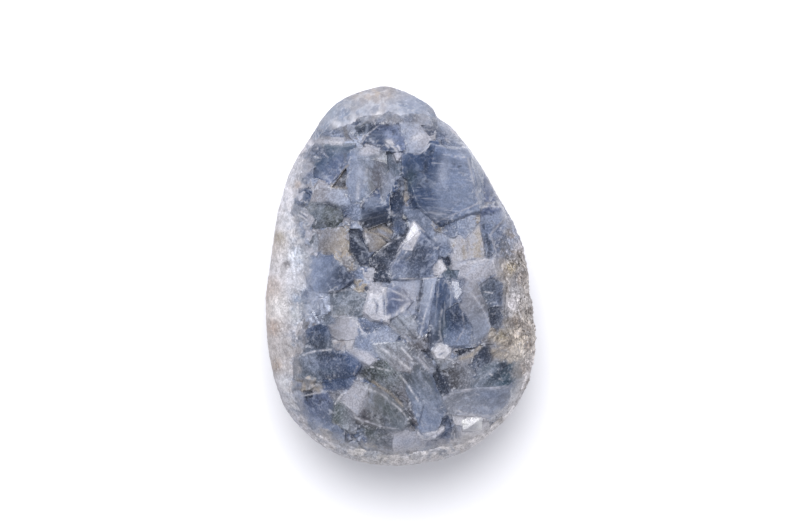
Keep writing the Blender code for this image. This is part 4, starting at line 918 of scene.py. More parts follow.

# %% [markdown]
# Some marks are as well known as the crystals: white edges that catch the light, dark clefts, stripes and
# stains along a seam, and a few painted glints and painted shade. They could be modelled as fine ridges,
# but they are thinner than the mesh is fine.
# They are drawn as strokes of a tone along a line, thin in places so that they look broken and not ruled.

# %% Strokes
# tone, half width in mm and strength, then the line that it follows
STROKES = [
    ("milk", 0.3, 0.8, [(15, 25.3), (20, 25.4)]), ("milk", 0.3, 0.8, [(14.5, 23), (19.5, 22.9)]),
    ("milk", 0.25, 0.8, [(16.5, 21.3), (19.1, 21.1)]), ("milk", 0.2, 0.6, [(15.1, 27.1), (19, 27.2)]),
    ("beige", 0.5, 0.9, [(1.4, 26.7), (1.8, 19.9)]), ("white", 0.3, 0.9, [(-22.6, 38.7), (-16.6, 37.6)]),
    ("white", 0.2, 0.9, [(0.2, -0.5), (5.7, -0.7), (11.5, 0.1)]),
    ("ink", 0.45, 0.9, [(6, -1.1), (5.5, -4.7), (4.7, -9.5)]),
    ("pearl", 0.3, 0.9, [(11.6, -9.5), (10.9, -12.4), (10.9, -15.3), (11.5, -18.6)]),
    ("white", 0.25, 0.8, [(0, -27.8), (2.4, -30.8), (4.8, -34.7)]),
    ("white", 0.3, 0.8, [(-16, -35.3), (-13.1, -38.2), (-12.7, -39.7), (-9.3, -40.7)]),
    ("white", 0.3, 0.8, [(-18.5, -35.8), (-16.5, -33.3), (-15, -32.3)]),
    ("pearl", 0.4, 0.9, [(11.6, -34.3), (14.5, -32.8), (18.4, -31.9), (24.3, -31.4), (30.3, -31.2)]),
    ("pearl", 0.35, 0.9, [(4.8, -22.5), (6.7, -24.6), (8.6, -26.9)]),
    ("beige", 0.6, 0.8, [(16.9, -23), (19.8, -22.1), (22.2, -19.7)]),
    ("white", 0.3, 0.8, [(-13.3, -12.2), (-11.6, -13.3), (-10.6, -15.8)]),
    ("ink", 0.35, 0.8, [(6.8, 32.1), (7.3, 29.2)]),
    ("beige", 0.5, 0.9, [(-9.7, 12.7), (-5.8, 13.7), (-2.3, 12.2)]),
    # painted highlight: a white line along the glinting top of the flash crystal
    ("white", 0.25, 0.8, [(17.5, -40.4), (20, -38.7), (22.1, -40.2)]),
    ("pearl", 0.3, 0.8, [(19.1, 33.5), (20.2, 28.5), (22, 20.6)]),
    ("milk", 0.3, 0.7, [(-14.8, 33.1), (-13.4, 27.2), (-13.9, 21.4)]),
    ("ink", 0.6, 0.8, [(1.3, 16.5), (1.9, 13.5), (1.1, 10.4)]),
    ("white", 0.22, 0.9, [(5.3, 12.1), (3.1, 7.4), (0.5, 7.7)]),
    ("white", 0.25, 0.9, [(-0.9, 4.1), (0.2, 5.4)]), ("white", 0.25, 0.9, [(0.4, 5), (1.6, 6.8)]),
    ("white", 0.2, 0.8, [(-1.2, 5.5), (-0.4, 6.8)]), ("white", 0.2, 0.8, [(1.5, 4.4), (2.4, 5.3)]),
    ("pearl", 0.25, 0.8, [(-0, 7.3), (-1.9, 3.8), (-3.4, 0.1)]),
    ("milk", 0.22, 0.8, [(5.7, 11.7), (9.1, 8.8), (9.6, 4.9), (8.3, 0.5)]),
    ("white", 0.3, 0.9, [(-10.1, 12.1), (-9.1, 10.1), (-8.1, 8)]),
    ("pearl", 0.22, 0.9, [(-7.5, 6.3), (-3.8, 8.8), (-0.1, 11.1)]),
    ("beige", 0.35, 0.9, [(-9.7, 12.6), (-6.3, 11.7), (-3.1, 10.3)]),
    # painted highlight: the next two white lines are glints on the striped_clear crystal's growth steps
    ("white", 0.2, 0.9, [(-28.2, 18.3), (-25.2, 16.2)]),
    ("white", 0.18, 0.9, [(-28.7, 17.3), (-25.6, 15.5)]),
    ("slate", 0.2, 0.8, [(-28.4, 17.8), (-25.4, 15.9)]),
    ("ink", 0.6, 0.8, [(-29.6, 19.9), (-27, 20.4), (-25.9, 20.9)]),
    # painted shade: a dark stroke in the gap between left_green and left_slab
    ("ink", 0.6, 0.8, [(-23.9, 20.1), (-20.4, 20.4), (-17.9, 19.4)]),
    ("beige", 0.3, 0.9, [(-19.4, 25.2), (-17.1, 28.1), (-14.8, 31.2)]),
    ("beige", 0.35, 0.9, [(-19.3, 25.1), (-15.5, 24.8)]),
    ("white", 0.6, 0.5, [(-11.3, 30.2), (-11.8, 25.3), (-12.1, 21.9)]),
    ("white", 0.4, 0.5, [(-9.4, 29.8), (-10.4, 25.1)]),
    ("pearl", 0.22, 0.9, [(-11.4, 36.6), (-9.5, 40), (-6.2, 42.6)]),
    ("white", 0.3, 0.9, [(-3.5, 37.9), (-2.7, 37.2)]), ("white", 0.3, 0.9, [(-2.7, 36.6), (-1.5, 35.9)]),
    ("white", 0.25, 0.9, [(-1.6, 35.3), (-0.6, 34.3)]), ("white", 0.25, 0.9, [(-4.2, 37), (-3.3, 36.1)]),
    ("white", 0.25, 0.8, [(-0.9, 36.6), (-0.2, 35.4)]),
    ("white", 0.25, 0.8, [(-24.5, 36.1), (-23.6, 36.4)]),
    ("white", 0.25, 0.8, [(-24.6, 34.1), (-23.4, 33.7)]),
    ("white", 0.25, 0.8, [(-23.8, 32.5), (-22.8, 32.9)]),
    ("white", 0.25, 0.9, [(15.4, 33.9), (16.6, 34.1)]), ("white", 0.25, 0.9, [(16.9, 33.5), (18.1, 33.8)]),
    ("ink", 0.3, 0.7, [(14.6, 32), (15.3, 31.4)]), ("ink", 0.25, 0.7, [(16.1, 30.8), (16.9, 31.1)]),
    ("milk", 0.22, 0.8, [(0.7, 35), (5.6, 35.3), (8.7, 37.5), (11.7, 36.5)]),
    ("pearl", 0.22, 0.8, [(8.6, 14.6), (14.4, 17.1), (19.1, 19.2), (21.6, 20.5)]),
    ("pearl", 0.5, 0.8, [(12.9, 39.1), (14.1, 37.9)]), ("white", 0.35, 0.8, [(17.7, 36.9), (18.4, 36.6)]),
    ("white", 0.28, 0.9, [(23.1, 19.6), (24.9, 19.9)]), ("white", 0.25, 0.9, [(25.9, 19.9), (28, 19.7)]),
    ("white", 0.7, 0.9, [(-4.7, -11.7), (-1.6, -10.7), (0.5, -9.2), (2.3, -7.5)]),
    ("white", 0.22, 0.9, [(-5.2, -4.1), (-2, -4), (0.8, -5.3), (2.6, -7)]),
    ("white", 0.25, 0.8, [(-4.3, -7.2), (-2.2, -6.2), (0.5, -6.6)]),
    ("slate", 0.35, 0.7, [(-7.3, -6), (-6.4, -8.1), (-6.8, -10.4)]),
    ("navy", 0.35, 0.7, [(-4.4, -10.3), (-4.5, -7.6), (-4.7, -5.3)]),
    ("ink", 0.25, 0.7, [(6.6, -1.1), (6, -4.7), (5, -9.5)]),
    ("white", 0.2, 0.7, [(9.1, -1.1), (8.2, -6.4), (6.6, -10.9), (5.3, -16.8)]),
    ("pearl", 0.2, 0.7, [(13, -1.2), (14.9, -5.3), (16.8, -7.7), (17.8, -14.4), (15.6, -18)]),
    ("milk", 0.4, 0.6, [(-3.5, -1.8), (-2.5, -3.9)]), ("slate", 0.6, 0.5, [(0.5, -1.4), (1.5, -5.6)]),
    ("pearl", 0.5, 0.5, [(3.6, -1.4), (3.8, -8.5)]),
    ("white", 0.25, 0.8, [(16.8, -3.7), (19.7, -4.7), (21.2, -6.6)]),
    ("pearl", 0.25, 0.7, [(21.2, -6.6), (23.7, -10.5), (25.2, -14.4)]),
    ("white", 0.25, 0.9, [(9.8, -20.7), (11.1, -19.3), (12.9, -19.4)]),
    ("slate", 0.25, 0.7, [(10.8, -21.7), (12.4, -21.1)]),
    ("pearl", 0.25, 0.8, [(-4.3, -12.9), (1.2, -16.6), (3.8, -19.5)]),
    ("milk", 0.3, 0.7, [(-2.7, -11.8), (2.8, -17.8)]), ("ink", 0.25, 0.6, [(-1.2, -11), (4.4, -17.4)]),
    ("white", 0.4, 0.8, [(-6.6, -19.3), (-1.5, -22.6), (2.5, -25.7)]),
    ("smoke", 0.4, 0.7, [(-3.7, -19.7), (1.7, -23.2)]), ("white", 0.25, 0.8, [(0.2, -19.8), (3.2, -23)]),
    ("white", 0.28, 0.8, [(-9.7, -31.1), (-5.3, -32.9), (-0, -37.3), (2.3, -40.1)]),
    ("pearl", 0.25, 0.8, [(-12.3, -39.8), (-4.9, -42.3), (-0.6, -42.8)]),
    ("milk", 0.6, 0.5, [(-8, -33.2), (-9, -37.5)]), ("pearl", 0.4, 0.5, [(-4.5, -34.7), (-6, -39.7)]),
    ("milk", 0.7, 0.6, [(5, -26.4), (6.9, -31.8), (8.3, -38.7)]),
    ("slate", 0.5, 0.6, [(8.3, -26.4), (10.1, -31.8), (10.6, -38.7)]),
    ("beige", 0.4, 0.8, [(-7.8, -29.4), (-3.3, -32.3), (0.5, -36.1)]),
    ("white", 0.25, 0.8, [(-2.9, -26.3), (-8.3, -25.2)]),
    ("pearl", 0.3, 0.8, [(15.2, -39.4), (17.9, -38.5), (24.6, -39.5), (27.7, -39.7)]),
    ("pearl", 0.25, 0.8, [(27.7, -39.5), (29.7, -37), (32.4, -33.1)]),
    ("white", 0.28, 0.8, [(20.8, -32.8), (22, -33.3)]),
    ("white", 0.25, 0.8, [(16.1, -37.7), (17.1, -38.2)]), ("navy", 0.9, 0.8, [(9.3, -45.8), (12.3, -44.8)]),
    ("pearl", 0.6, 0.8, [(7.4, -46), (9.6, -47.5)]),
    ("white", 0.2, 0.8, [(-28.1, -33.9), (-25, -33.2), (-22, -32.5)]),
    ("beige", 0.7, 0.8, [(-29.3, -29.2), (-25.9, -30.2), (-22.9, -32.1)]),
    ("white", 0.25, 0.8, [(-27.5, -22.2), (-24.1, -20.9), (-19.4, -20.4)]),
    ("pearl", 0.22, 0.8, [(-12, -25), (-13.1, -27.1), (-10.9, -28.9)]),
    ("ink", 0.5, 0.7, [(-21.9, -21.8), (-16.5, -22.3)]), ("teal", 0.6, 0.7, [(-25.4, -25.3), (-19, -26.5)]),
    ("milk", 0.3, 0.6, [(-24.3, -23.4), (-21.4, -24.4)]),
    ("milk", 0.25, 0.6, [(-18.4, -24.5), (-15.9, -24.1)]),
    ("pearl", 0.25, 0.8, [(-19.6, -4.2), (-13.5, -3.7), (-10, -5.7)]),
    ("pearl", 0.25, 0.8, [(-19.3, -8.2), (-18.8, -11.1), (-13.1, -11.4)]),
    ("ink", 0.5, 0.7, [(21.4, -2.6), (25.2, -0.2), (27.9, -1.1)]),
    ("ink", 0.4, 0.7, [(29.2, -4), (27.6, -7.9)]), ("white", 0.2, 0.8, [(23.4, -4.3), (25.8, -4.7)]),
    ("white", 0.25, 0.8, [(30.8, -27), (31.7, -28.1)]),
    ("white", 0.22, 0.8, [(27.8, -28.9), (28.7, -29.3)]),
    ("white", 0.22, 0.8, [(24.9, -27.4), (25.7, -27.8)]),
    ("ink", 0.7, 0.7, [(28.5, -24.9), (32.5, -28), (32, -30)]),
    ("ink", 0.6, 0.8, [(9.8, -24.2), (11.6, -29.3), (13.1, -33)]),
    ("white", 0.22, 0.7, [(10, -23.2), (12.5, -22.8), (14.6, -23.4)]),
    ("pearl", 0.25, 0.8, [(25.2, 11.7), (27.6, 14.3), (30.3, 17.1), (32.1, 12.2), (31.2, 8.1),
      (27.4, 6.1), (25.2, 11.7)]),
    ("ink", 0.6, 0.7, [(23.5, 14.3), (24.8, 9.2), (24.8, 4.9)]),
    ("pearl", 0.25, 0.7, [(22.3, 14.4), (22.8, 9.4), (23.6, 4.8)]),
    ("beige", 0.35, 0.7, [(17.3, 10.2), (17.9, 5.1)]), ("pearl", 0.35, 0.7, [(19.5, 11.1), (19.9, 4.9)]),
    ("slate", 0.25, 0.5, [(18.6, 10.3), (19, 4.9)]),
    ("white", 0.25, 0.8, [(15, 3.4), (19.3, 3.6), (23.2, 4.6)]),
    ("white", 0.22, 0.8, [(16, 1.1), (20.2, -1.4)]),
    ("white", 0.22, 0.9, [(23.2, 4.7), (25.8, 4.5), (27, 0.6)]),
    ("navy", 0.25, 0.6, [(15, 4), (22.8, 5.2)]), ("slate", 0.3, 0.7, [(26.6, 0.4), (21.6, -2)]),
    ("ink", 0.5, 0.7, [(10.8, 5.1), (13.1, 5.1), (14.4, 3.4)]), ("ink", 0.4, 0.6, [(9, 4.4), (8.4, 0.7)]),
]  # fmt: skip
FAINTEST = 0.25  # what is left of a stroke where it is thin
near_x, near_y = 0.7 * grid_x + 0.3 * wander_x, 0.7 * grid_y + 0.3 * wander_y
whole = FAINTEST + (1 - FAINTEST) * smooth(0.32, 0.56, clouds_at(grid_x, grid_y, 1.6, 3, 21))
for label, width, strength, line in STROKES:
    for (x1, y1), (x2, y2) in zip(line, line[1:]):
        length = math.dist((x1, y1), (x2, y2))
        way = np.clip(((near_x - x1) * (x2 - x1) + (near_y - y1) * (y2 - y1)) / length**2, 0, 1)
        distance = np.hypot(near_x - x1 - way * (x2 - x1), near_y - y1 - way * (y2 - y1))
        mark = strength * np.exp(-((distance / width) ** 2)) * whole
        tone = lay(tone, TONES[label][1], mark)
print(len(STROKES), "strokes")

# %% [markdown]
# Wider changes inside a crystal, such as a milky window or a dark hollow, are soft oval spots of a tone.
# Each is a bell curve over the plan, stretched and turned, and a noise keeps its edge from looking sprayed.

# %% Soft spots
# tone, strength, place, two radii in mm and the turn of the longer one in degrees
SPOTS = [
    ("milk", 0.9, (11.9, 28.8), 5.5, 1.7, 80), ("mist", 0.8, (15.5, 23.4), 5, 3.5, 0),
    ("ink", 0.8, (2.4, 29.1), 4, 2, 80), ("navy", 0.8, (7.7, 32.2), 3, 3, 0),
    ("navy", 0.7, (5.8, 22.3), 4, 4, 0), ("milk", 0.7, (-11.6, 29.1), 5, 2.2, 80),
    ("smoke", 0.8, (-6.3, 30.1), 4.5, 2, 80), ("white", 0.8, (4.8, 39.1), 2, 1, 30),
    ("navy", 0.7, (-23, 31.4), 4, 1.5, 60), ("violet", 0.7, (-18.5, 32.2), 3, 2, 30),
    ("ink", 0.8, (-15.3, -1.3), 2.5, 1.6, -60), ("mist", 0.8, (-21.3, 2), 3, 2, 0),
    ("slate", 0.6, (-20.3, -25), 7, 2.5, 0), ("mist", 0.7, (15.4, -3.7), 3, 4, 0),
    ("navy", 0.8, (14.4, -13.4), 2, 3, 0), ("mist", 0.7, (9.6, -11.4), 1.2, 5, 0),
    ("pearl", 0.7, (1.9, -4.7), 2.5, 3.5, 0), ("moss", 0.8, (-3.9, -36.7), 4, 2, -50),
    ("mist", 0.7, (7.7, -39.7), 3, 2, -60), ("pearl", 0.8, (19.6, -43), 4, 1.6, 20),
    ("beige", 0.8, (31.2, -18.4), 4, 3, 0), ("beige", 0.7, (-5.4, -50), 4, 1.2, 0),
    # painted highlight: the white spot at (19.8, -40.5) lays the lamp's glint over the flash crystal
    ("white", 0.9, (19.8, -40.5), 1.4, 1.0, 0), ("mist", 0.7, (24.3, -33.5), 4, 1.5, 0),
    ("pearl", 0.9, (-8.6, 35.4), 2.2, 0.9, -15), ("ink", 0.8, (-11, 41.4), 1.6, 0.8, 25),
    ("ink", 0.8, (-9, 43.6), 0.9, 0.5, 0), ("ink", 0.7, (6.9, 30.7), 2.2, 0.7, 80),
    ("navy", 0.7, (3.8, 32.1), 3, 2.2, 60), ("teal", 0.7, (2.9, 27.2), 3.2, 1.6, 80),
    ("mist", 0.7, (12.5, 20.4), 4.5, 2.2, 20), ("milk", 0.6, (10.1, 17), 3, 1, 20),
    ("violet", 0.6, (-2.5, -6.6), 2.2, 1.4, -20), ("navy", 0.6, (-3.7, -8.7), 1.2, 0.7, 0),
    ("milk", 0.7, (-1.4, 1.7), 2, 1.2, 0), ("violet", 0.6, (-0.6, 3), 2, 1.6, 30),
    ("ink", 0.6, (6.1, 4.5), 2.2, 3, 10), ("smoke", 0.6, (-6.4, 25.8), 3.4, 1.6, 80),
    ("ink", 0.6, (-6.2, 15.9), 2, 3, 0), ("ink", 0.7, (-21.3, 39.4), 1.6, 1, 0),
    ("teal", 0.6, (12.1, -13.9), 1.6, 3.4, 0), ("ink", 0.6, (15, -11.4), 1.8, 3, 10),
    ("moss", 0.6, (-8.8, -44), 3, 1.2, -20), ("milk", 0.6, (2.3, -46.7), 3, 1.4, 0),
]  # fmt: skip
uneven = 0.6 + 0.8 * clouds_at(grid_x, grid_y, 2.5, 3, 22)
for label, strength, (x, y), long, wide, turn in SPOTS:
    turn = math.radians(turn)
    u = (wander_x - x) * math.cos(turn) + (wander_y - y) * math.sin(turn)
    v = (wander_y - y) * math.cos(turn) - (wander_x - x) * math.sin(turn)
    mark = strength * np.exp(-((u / long) ** 2) - (v / wide) ** 2) * uneven
    tone = lay(tone, TONES[label][1], np.minimum(mark, 1))
tone = tone * 1.12 * tone.mean(axis=-1, keepdims=True) ** 0.12  # a little more contrast in all
print(len(SPOTS), "soft spots")

# %% [markdown]
# Between the crystals, and all along the edge of their field, bare rock shows through. The crust takes over
# the rock's own colour there, by a share that is kept with the colour, so that its finish can turn from
# crystal to rock at the same places. A few crystals reach over the edge and keep their own colour.

# %% Bare rock between the crystals
# places and radii in mm
SHOWING = [
    ((31.5, -18.2), 4.2), ((28.4, -17.4), 2.6), ((30.8, -12), 1.8), ((30.6, 3), 2.0), ((30.2, 10), 2.0),
    ((31.5, -22), 2.4), ((-26.2, -29.9), 1.9), ((-14.8, 4.6), 1.9), ((-13.2, 2.8), 1.4),
    ((-17.2, 6.6), 1.6), ((28.6, 4.6), 1.2), ((-16.6, -19.4), 1.6), ((-29, -21), 1.4),
    ((-20.4, -44.6), 2.2), ((25.6, -15.4), 1.5), ((-26.8, 14.2), 1.2),
]  # fmt: skip
SPARED = (
    "dark_tooth", "left_tooth", "left_shard", "fan", "flash", "right_black", "rim_chip", "ledge",
    "grained_block", "right_round", "grey_face",
)  # fmt: skip
thin = smooth(-1.0, 3.0, reach(EGG, grid_x, grid_y)[0] - field_edge)
ragged = inward + 6 * (clouds_at(grid_x, grid_y, 3.5, 4, 41) - 0.5)
fade = smooth(4.5, -1.5, ragged) * thin * smooth(6, 3, inward)
spared = over_grid(lambda crystal: crystal["name"] in SPARED)
fade = np.where(spared & (inset > 0.6), 0.15, 1.0) * fade * (1 - 0.25 * smooth(34, 40, grid_y))
uneven = 1.6 * (clouds_at(grid_x, grid_y, 2.5, 3, 44) - 0.5)
for (x, y), radius in SHOWING:
    far = np.hypot(wander_x - x, wander_y - y) / radius + uneven
    fade = np.maximum(fade, 0.9 * smooth(1.1, 0.7, far))
tone = lay(tone, rock_tint(grid_x, grid_y, 1.0), fade)
edge, dust, veil = edge * (1 - fade), dust * (1 - fade), veil * (1 - fade)
print("rock shows on", round(float((fade[kept] > 0.5).mean()), 2), "of the crust")

# %% [markdown]
# The crust is one closed mesh. Its top is the grid itself, four points to a face. A wall runs down from
# every open side to the bed, and a fan of triangles to one point in the middle closes it underneath, where
# the matrix hides it.

# %% The crust's points and faces
LEAST_WALL = 2.5  # how far the wall goes down at least, in mm
number = np.full(grid_x.shape, -1)
number[kept] = np.arange(kept.sum())
cells = kept[:-1, :-1] & kept[1:, :-1] & kept[:-1, 1:] & kept[1:, 1:]
corners = [number[:-1, :-1][cells], number[:-1, 1:][cells], number[1:, 1:][cells], number[1:, :-1][cells]]
quads = np.stack(corners, axis=1)
sides = np.concatenate([quads[:, [k, (k + 1) % 4]] for k in range(4)])
back_ways = set(map(tuple, sides[:, ::-1].tolist()))
open_sides = [side for side in map(tuple, sides.tolist()) if side not in back_ways]
rim = sorted({place for side in open_sides for place in side})
top = at[kept]
under = top[rim].copy()
under[:, 2] = np.minimum(bed_height(under[:, 0], under[:, 1]), under[:, 2] - LEAST_WALL)
lower = {place: len(top) + k for k, place in enumerate(rim)}
hub = len(top) + len(rim)
hub_point = [BELLY_X, BELLY_Y, BELLY_HEIGHT + FRONT_RISE - CRUST_DEPTH]
crust_points = np.vstack([top, under, [hub_point]])
crust_faces = quads.tolist()
crust_faces += [[b, a, lower[a], lower[b]] for a, b in open_sides]
crust_faces += [[lower[b], lower[a], hub] for a, b in open_sides]
print(len(crust_faces), "faces in the crust")


# %% What the crust's points carry
def padded(field):
    """A field's values for the top's points, and its first value again for the hidden ones."""
    values = field[kept]
    return np.vstack([values, np.tile(values[:1], (len(rim) + 1, 1))])


crust_layers = [
    ("tone", "FLOAT_COLOR", padded(np.dstack([tone, fade]))),
    ("look", "FLOAT_COLOR", padded(np.stack([veil, dust, edge, lined], axis=-1))),
    ("grain", "FLOAT_VECTOR", padded(grain)),
]
print([f"{label}: {values.shape}" for label, _, values in crust_layers])

# %% [markdown]
# The matrix is one fine mesh over the same contour: rings that shrink from the belly to a point at the top
# and to another at the back. The rings lie closer where the dome is steep, so that the faces stay even.
# The back is flatter and ends in the small spot that the stone rests on.

# %% Even places round the contour
AROUND, INNER_RINGS, RIM_RINGS, BACK_RINGS = ((600, 24, 74, 62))
closed = np.vstack([egg_curve, egg_curve[:1]])
run = np.concatenate([[0], np.cumsum(np.hypot(*np.diff(closed, axis=0).T))])
places = np.linspace(0, run[-1], AROUND, endpoint=False)
ring_x, ring_y = (np.interp(places, run, closed[:, k]) - (BELLY_X, BELLY_Y)[k] for k in (0, 1))
print(AROUND, "places over", round(float(run[-1])), "mm of contour")

# %% Rings from the top to the back
BACK_DROP, BACK_ROUNDNESS = 29.2, 2.2
INNER_SHARE, RIM_SHARE = 0.68, 0.32  # how far out the evenly spaced rings go, and what is left


def closing_in(ring, rings):
    """Shares that lie closer and closer together towards 1."""
    return math.sin(math.pi / 2 * ring / rings)


shares = [INNER_SHARE * ring / INNER_RINGS for ring in range(1, INNER_RINGS + 1)]
shares += [INNER_SHARE + RIM_SHARE * closing_in(ring, RIM_RINGS) for ring in range(1, RIM_RINGS + 1)]
shares += [closing_in(ring, BACK_RINGS) for ring in range(BACK_RINGS - 1, 0, -1)]
shares = np.array(shares)
xs = BELLY_X + np.outer(shares, ring_x)
ys = BELLY_Y + np.outer(shares, ring_y)
zs = front_height(xs, ys)
back = np.arange(len(shares)) >= INNER_RINGS + RIM_RINGS
drop = BACK_DROP * (1 - shares[back] ** BACK_ROUNDNESS) ** (1 / BACK_ROUNDNESS)
zs[back] = (BELLY_HEIGHT - drop)[:, None]
tips = [[BELLY_X, BELLY_Y, BELLY_HEIGHT + FRONT_RISE], [BELLY_X, BELLY_Y, BELLY_HEIGHT - BACK_DROP]]
points = np.vstack([np.stack([xs, ys, zs], axis=-1).reshape(-1, 3), tips])
front = np.append(np.repeat(~back, AROUND), [True, False])
print(len(shares), "rings and", len(points), "matrix points")

# %% [markdown]
# What is drawn over the plan would be pulled out into streaks down the sides, where the rock turns away
# from the viewer. Below the belly the plan is therefore rolled out past the outline, and the patches seen
# in front fade out softly on the way down.

# %% Rolled-out places for the sides
middle = np.array([BELLY_X, BELLY_Y])
outward = points[:, :2] - middle
rolled = 1 + np.maximum(BELLY_HEIGHT - points[:, 2], 0) * ~front / np.maximum(np.hypot(*outward.T), 8)
plan_x, plan_y = (middle + outward * rolled[:, None]).T
shown = smooth(7, 24, points[:, 2] + 6 * (clouds_at(plan_x, plan_y, 9, 2, 51) - 0.5))
print("share of the rock that shows in front:", round(float((shown > 0.5).mean()), 2))

# %% [markdown]
# Ground rock isn't smooth: it has slow waves, lumps of a few millimetres and a fine grain, all rougher on
# the worn right rim. A sculpt would do, but it couldn't be repeated. Noise moves each point outwards by a
# little instead, and inside the crystal field the surface steps down to the bed under the crystals.


# %% Waves, lumps and fine grain
def grain_of(points, scale, octaves, shift=0.0):
    """Layered noise at each point, mostly from -1 to 1. scale is the size of its largest lumps in mm."""
    moved = points / scale + shift
    return np.array([noise.fractal(Vector(p), 1.0, 2.1, octaves) for p in moved])


waves, lumps, fine = (grain_of(points, *which) for which in ((22, 2, 5.0), (4.5, 3, 9.0), (1.1, 3, 20.0)))
print("waves go from", round(float(waves.min()), 1), "to", round(float(waves.max()), 1))

# %% The matrix rock's relief
BED_STEP = 3.0  # how far the rock steps down under the crystals' edge
edge_of_crust, away = reach(CRUST, points[:, 0], points[:, 1])
in_field = np.where(front, edge_of_crust - away, -50.0)
from_side = reach(EGG, points[:, 0], points[:, 1])[0] - away
sunk = smooth(-0.5, 6, in_field) * np.where(front, smooth(0.3, 3.0, from_side), 0)
right_rim = smooth(26, 34, points[:, 0]) * smooth(20, 8, points[:, 1])
right_rim = right_rim * smooth(-38, -26, points[:, 1]) * shown
rough = 0.35 + 1.1 * right_rim + 0.25 * smooth(0.35, 0.9, waves) + 0.6 * sunk
direction = (points - [BELLY_X, BELLY_Y, BELLY_HEIGHT]) * [1 / 39, 1 / 52, 1 / 25]  # half its sizes
direction /= np.linalg.norm(direction, axis=1)[:, None]
lift = 0.25 * waves + rough * (0.45 * lumps + 0.4 * fine)
points += direction * (lift - 0.15)[:, None]
hollow = front_height(points[:, 0], points[:, 1]) - bed_height(points[:, 0], points[:, 1])
points[:, 2] -= sunk * BED_STEP + np.maximum(hollow - BED_STEP, 0) * smooth(0.5, 2.5, in_field)
points[:, 2] = np.maximum(points[:, 2], 0)
print("the relief lifts the rock by up to", round(float(lift.max()), 1), "mm")

# %% [markdown]
# The rock's colour is laid down point by point, which the mesh is fine enough to hold: the patches in
# front, faint layers down at the foot, warm and blue stains on the sides and the back. A second value, the
# wear, tells the finish where cracks and dirt belong.

# %% The matrix rock's colours
tint = rock_tint(plan_x, plan_y, shown)
foot_side = smooth(-36, -48, points[:, 1]) * smooth(31, 28, points[:, 2]) * front
layers = clouds_at(points[:, 2] * 2.2 + 0.4 * lumps, points[:, 0] * 0.06, 1.5, 3, 39)
tint = tint * (1 + 0.9 * foot_side * (layers - 0.42))[:, None]
warm = smooth(0.1, 0.7, grain_of(points, 9, 3, 31.0)) * (1 - shown)
tint = lay(tint, seen(186, 174, 164), 0.5 * warm)
blue_spots = smooth(0.25, 0.6, grain_of(points, 6, 3, 47.0)) * (1 - shown)
tint = lay(tint, seen(142, 152, 172), 0.6 * blue_spots)
calm = smooth(34, 42, points[:, 1]) * shown
foot = smooth(-36, -46, points[:, 1]) * shown
patchy = 0.3 + 0.8 * smooth(0.35, 0.62, clouds_at(plan_x, plan_y, 5, 3, 53))
wear = right_rim * patchy - 0.6 * calm + 0.2 * foot
print("mean colour of the rock:", np.round(tint.mean(axis=0), 2))

# %% [markdown]
# Now both shapes become Blender objects. Drawing them with the mouse's tools isn't possible at this detail,
# so points and faces are handed over as lists, and the colours go with them as attributes on the points.
# The rock is shaded smooth like ground stone, the crust flat, so that its facets stay crisp.

# %% Making mesh objects
MM = 0.001  # one millimetre in Blender's units


def mesh_object(name, points, faces, attributes):
    data = bpy.data.meshes.new(name)
    data.from_pydata((points * MM).tolist(), [], faces)
    for label, kind, values in attributes:
        layer = data.attributes.new(label, kind, "POINT")
        layer.data.foreach_set("vector" if kind == "FLOAT_VECTOR" else "color", values.ravel())
    made = bpy.data.objects.new(name, data)
    bpy.context.scene.collection.objects.link(made)
    print(name, "has", len(data.vertices), "points and", len(data.polygons), "faces")
    return made


# %% The matrix rock
def ring_faces(rings):
    """Four-sided faces between the rings, and a fan of triangles at the top and at the back."""
    faces = []
    for ring in range(rings - 1):
        a, b = ring * AROUND, (ring + 1) * AROUND
        faces += [(a + i, b + i, b + (i + 1) % AROUND, a + (i + 1) % AROUND) for i in range(AROUND)]
    top, bottom, last = rings * AROUND, rings * AROUND + 1, (rings - 1) * AROUND
    for i in range(AROUND):
        j = (i + 1) % AROUND
        faces += [(top, i, j), (bottom, last + j, last + i)]
    return faces


whole = np.ones((len(points), 1))
tint_layer = np.hstack([tint, whole])
wear_layer = np.hstack([np.repeat(wear[:, None], 3, axis=1), whole])
matrix_layers = [("tint", "FLOAT_COLOR", tint_layer), ("wear", "FLOAT_COLOR", wear_layer)]
matrix_rock = mesh_object("matrix_rock", points, ring_faces(len(shares)), matrix_layers)
matrix_rock.data.shade_smooth()

# %% The crystal crust
crystal_crust = mesh_object("celestite_crust", crust_points, crust_faces, crust_layers)
crystal_crust.data.shade_flat()

# %% [markdown]
# A finish in Blender is a net of nodes. Wiring each by hand takes four lines, so a few helpers put a node
# into a material and connect it. With them each finish below reads as a list of what is laid over what.


# %% Shader helpers
def new_material(name):
    material = bpy.data.materials.new(name)
    material.use_nodes = True
    return material.node_tree, material.node_tree.nodes["Principled BSDF"], material


def put(tree, kind, inputs=(), **settings):
    """Adds a node. An input is a number, a colour or another node's output."""
    made = tree.nodes.new(kind)
    for key, value in settings.items():
        setattr(made, key, value)
    for key, value in dict(inputs).items():
        if isinstance(value, bpy.types.NodeSocket):
            tree.links.new(value, made.inputs[key])
        else:
            made.inputs[key].default_value = value
    return made


def mixed(tree, factor, a, b):
    """Colour a, turning into colour b by factor."""
    a, b = ((*v, 1) if isinstance(v, (tuple, np.ndarray)) and len(v) == 3 else v for v in (a, b))
    return put(tree, "ShaderNodeMix", {0: factor, 6: a, 7: b}, data_type="RGBA").outputs[2]


def curve(tree, value, low, high, to_low=0.0, to_high=1.0):
    """A smooth step from to_low to to_high as value goes from low to high."""
    inputs = {"Value": value, "From Min": low, "From Max": high, "To Min": to_low, "To Max": to_high}
    return put(tree, "ShaderNodeMapRange", inputs, interpolation_type="SMOOTHSTEP").outputs[0]


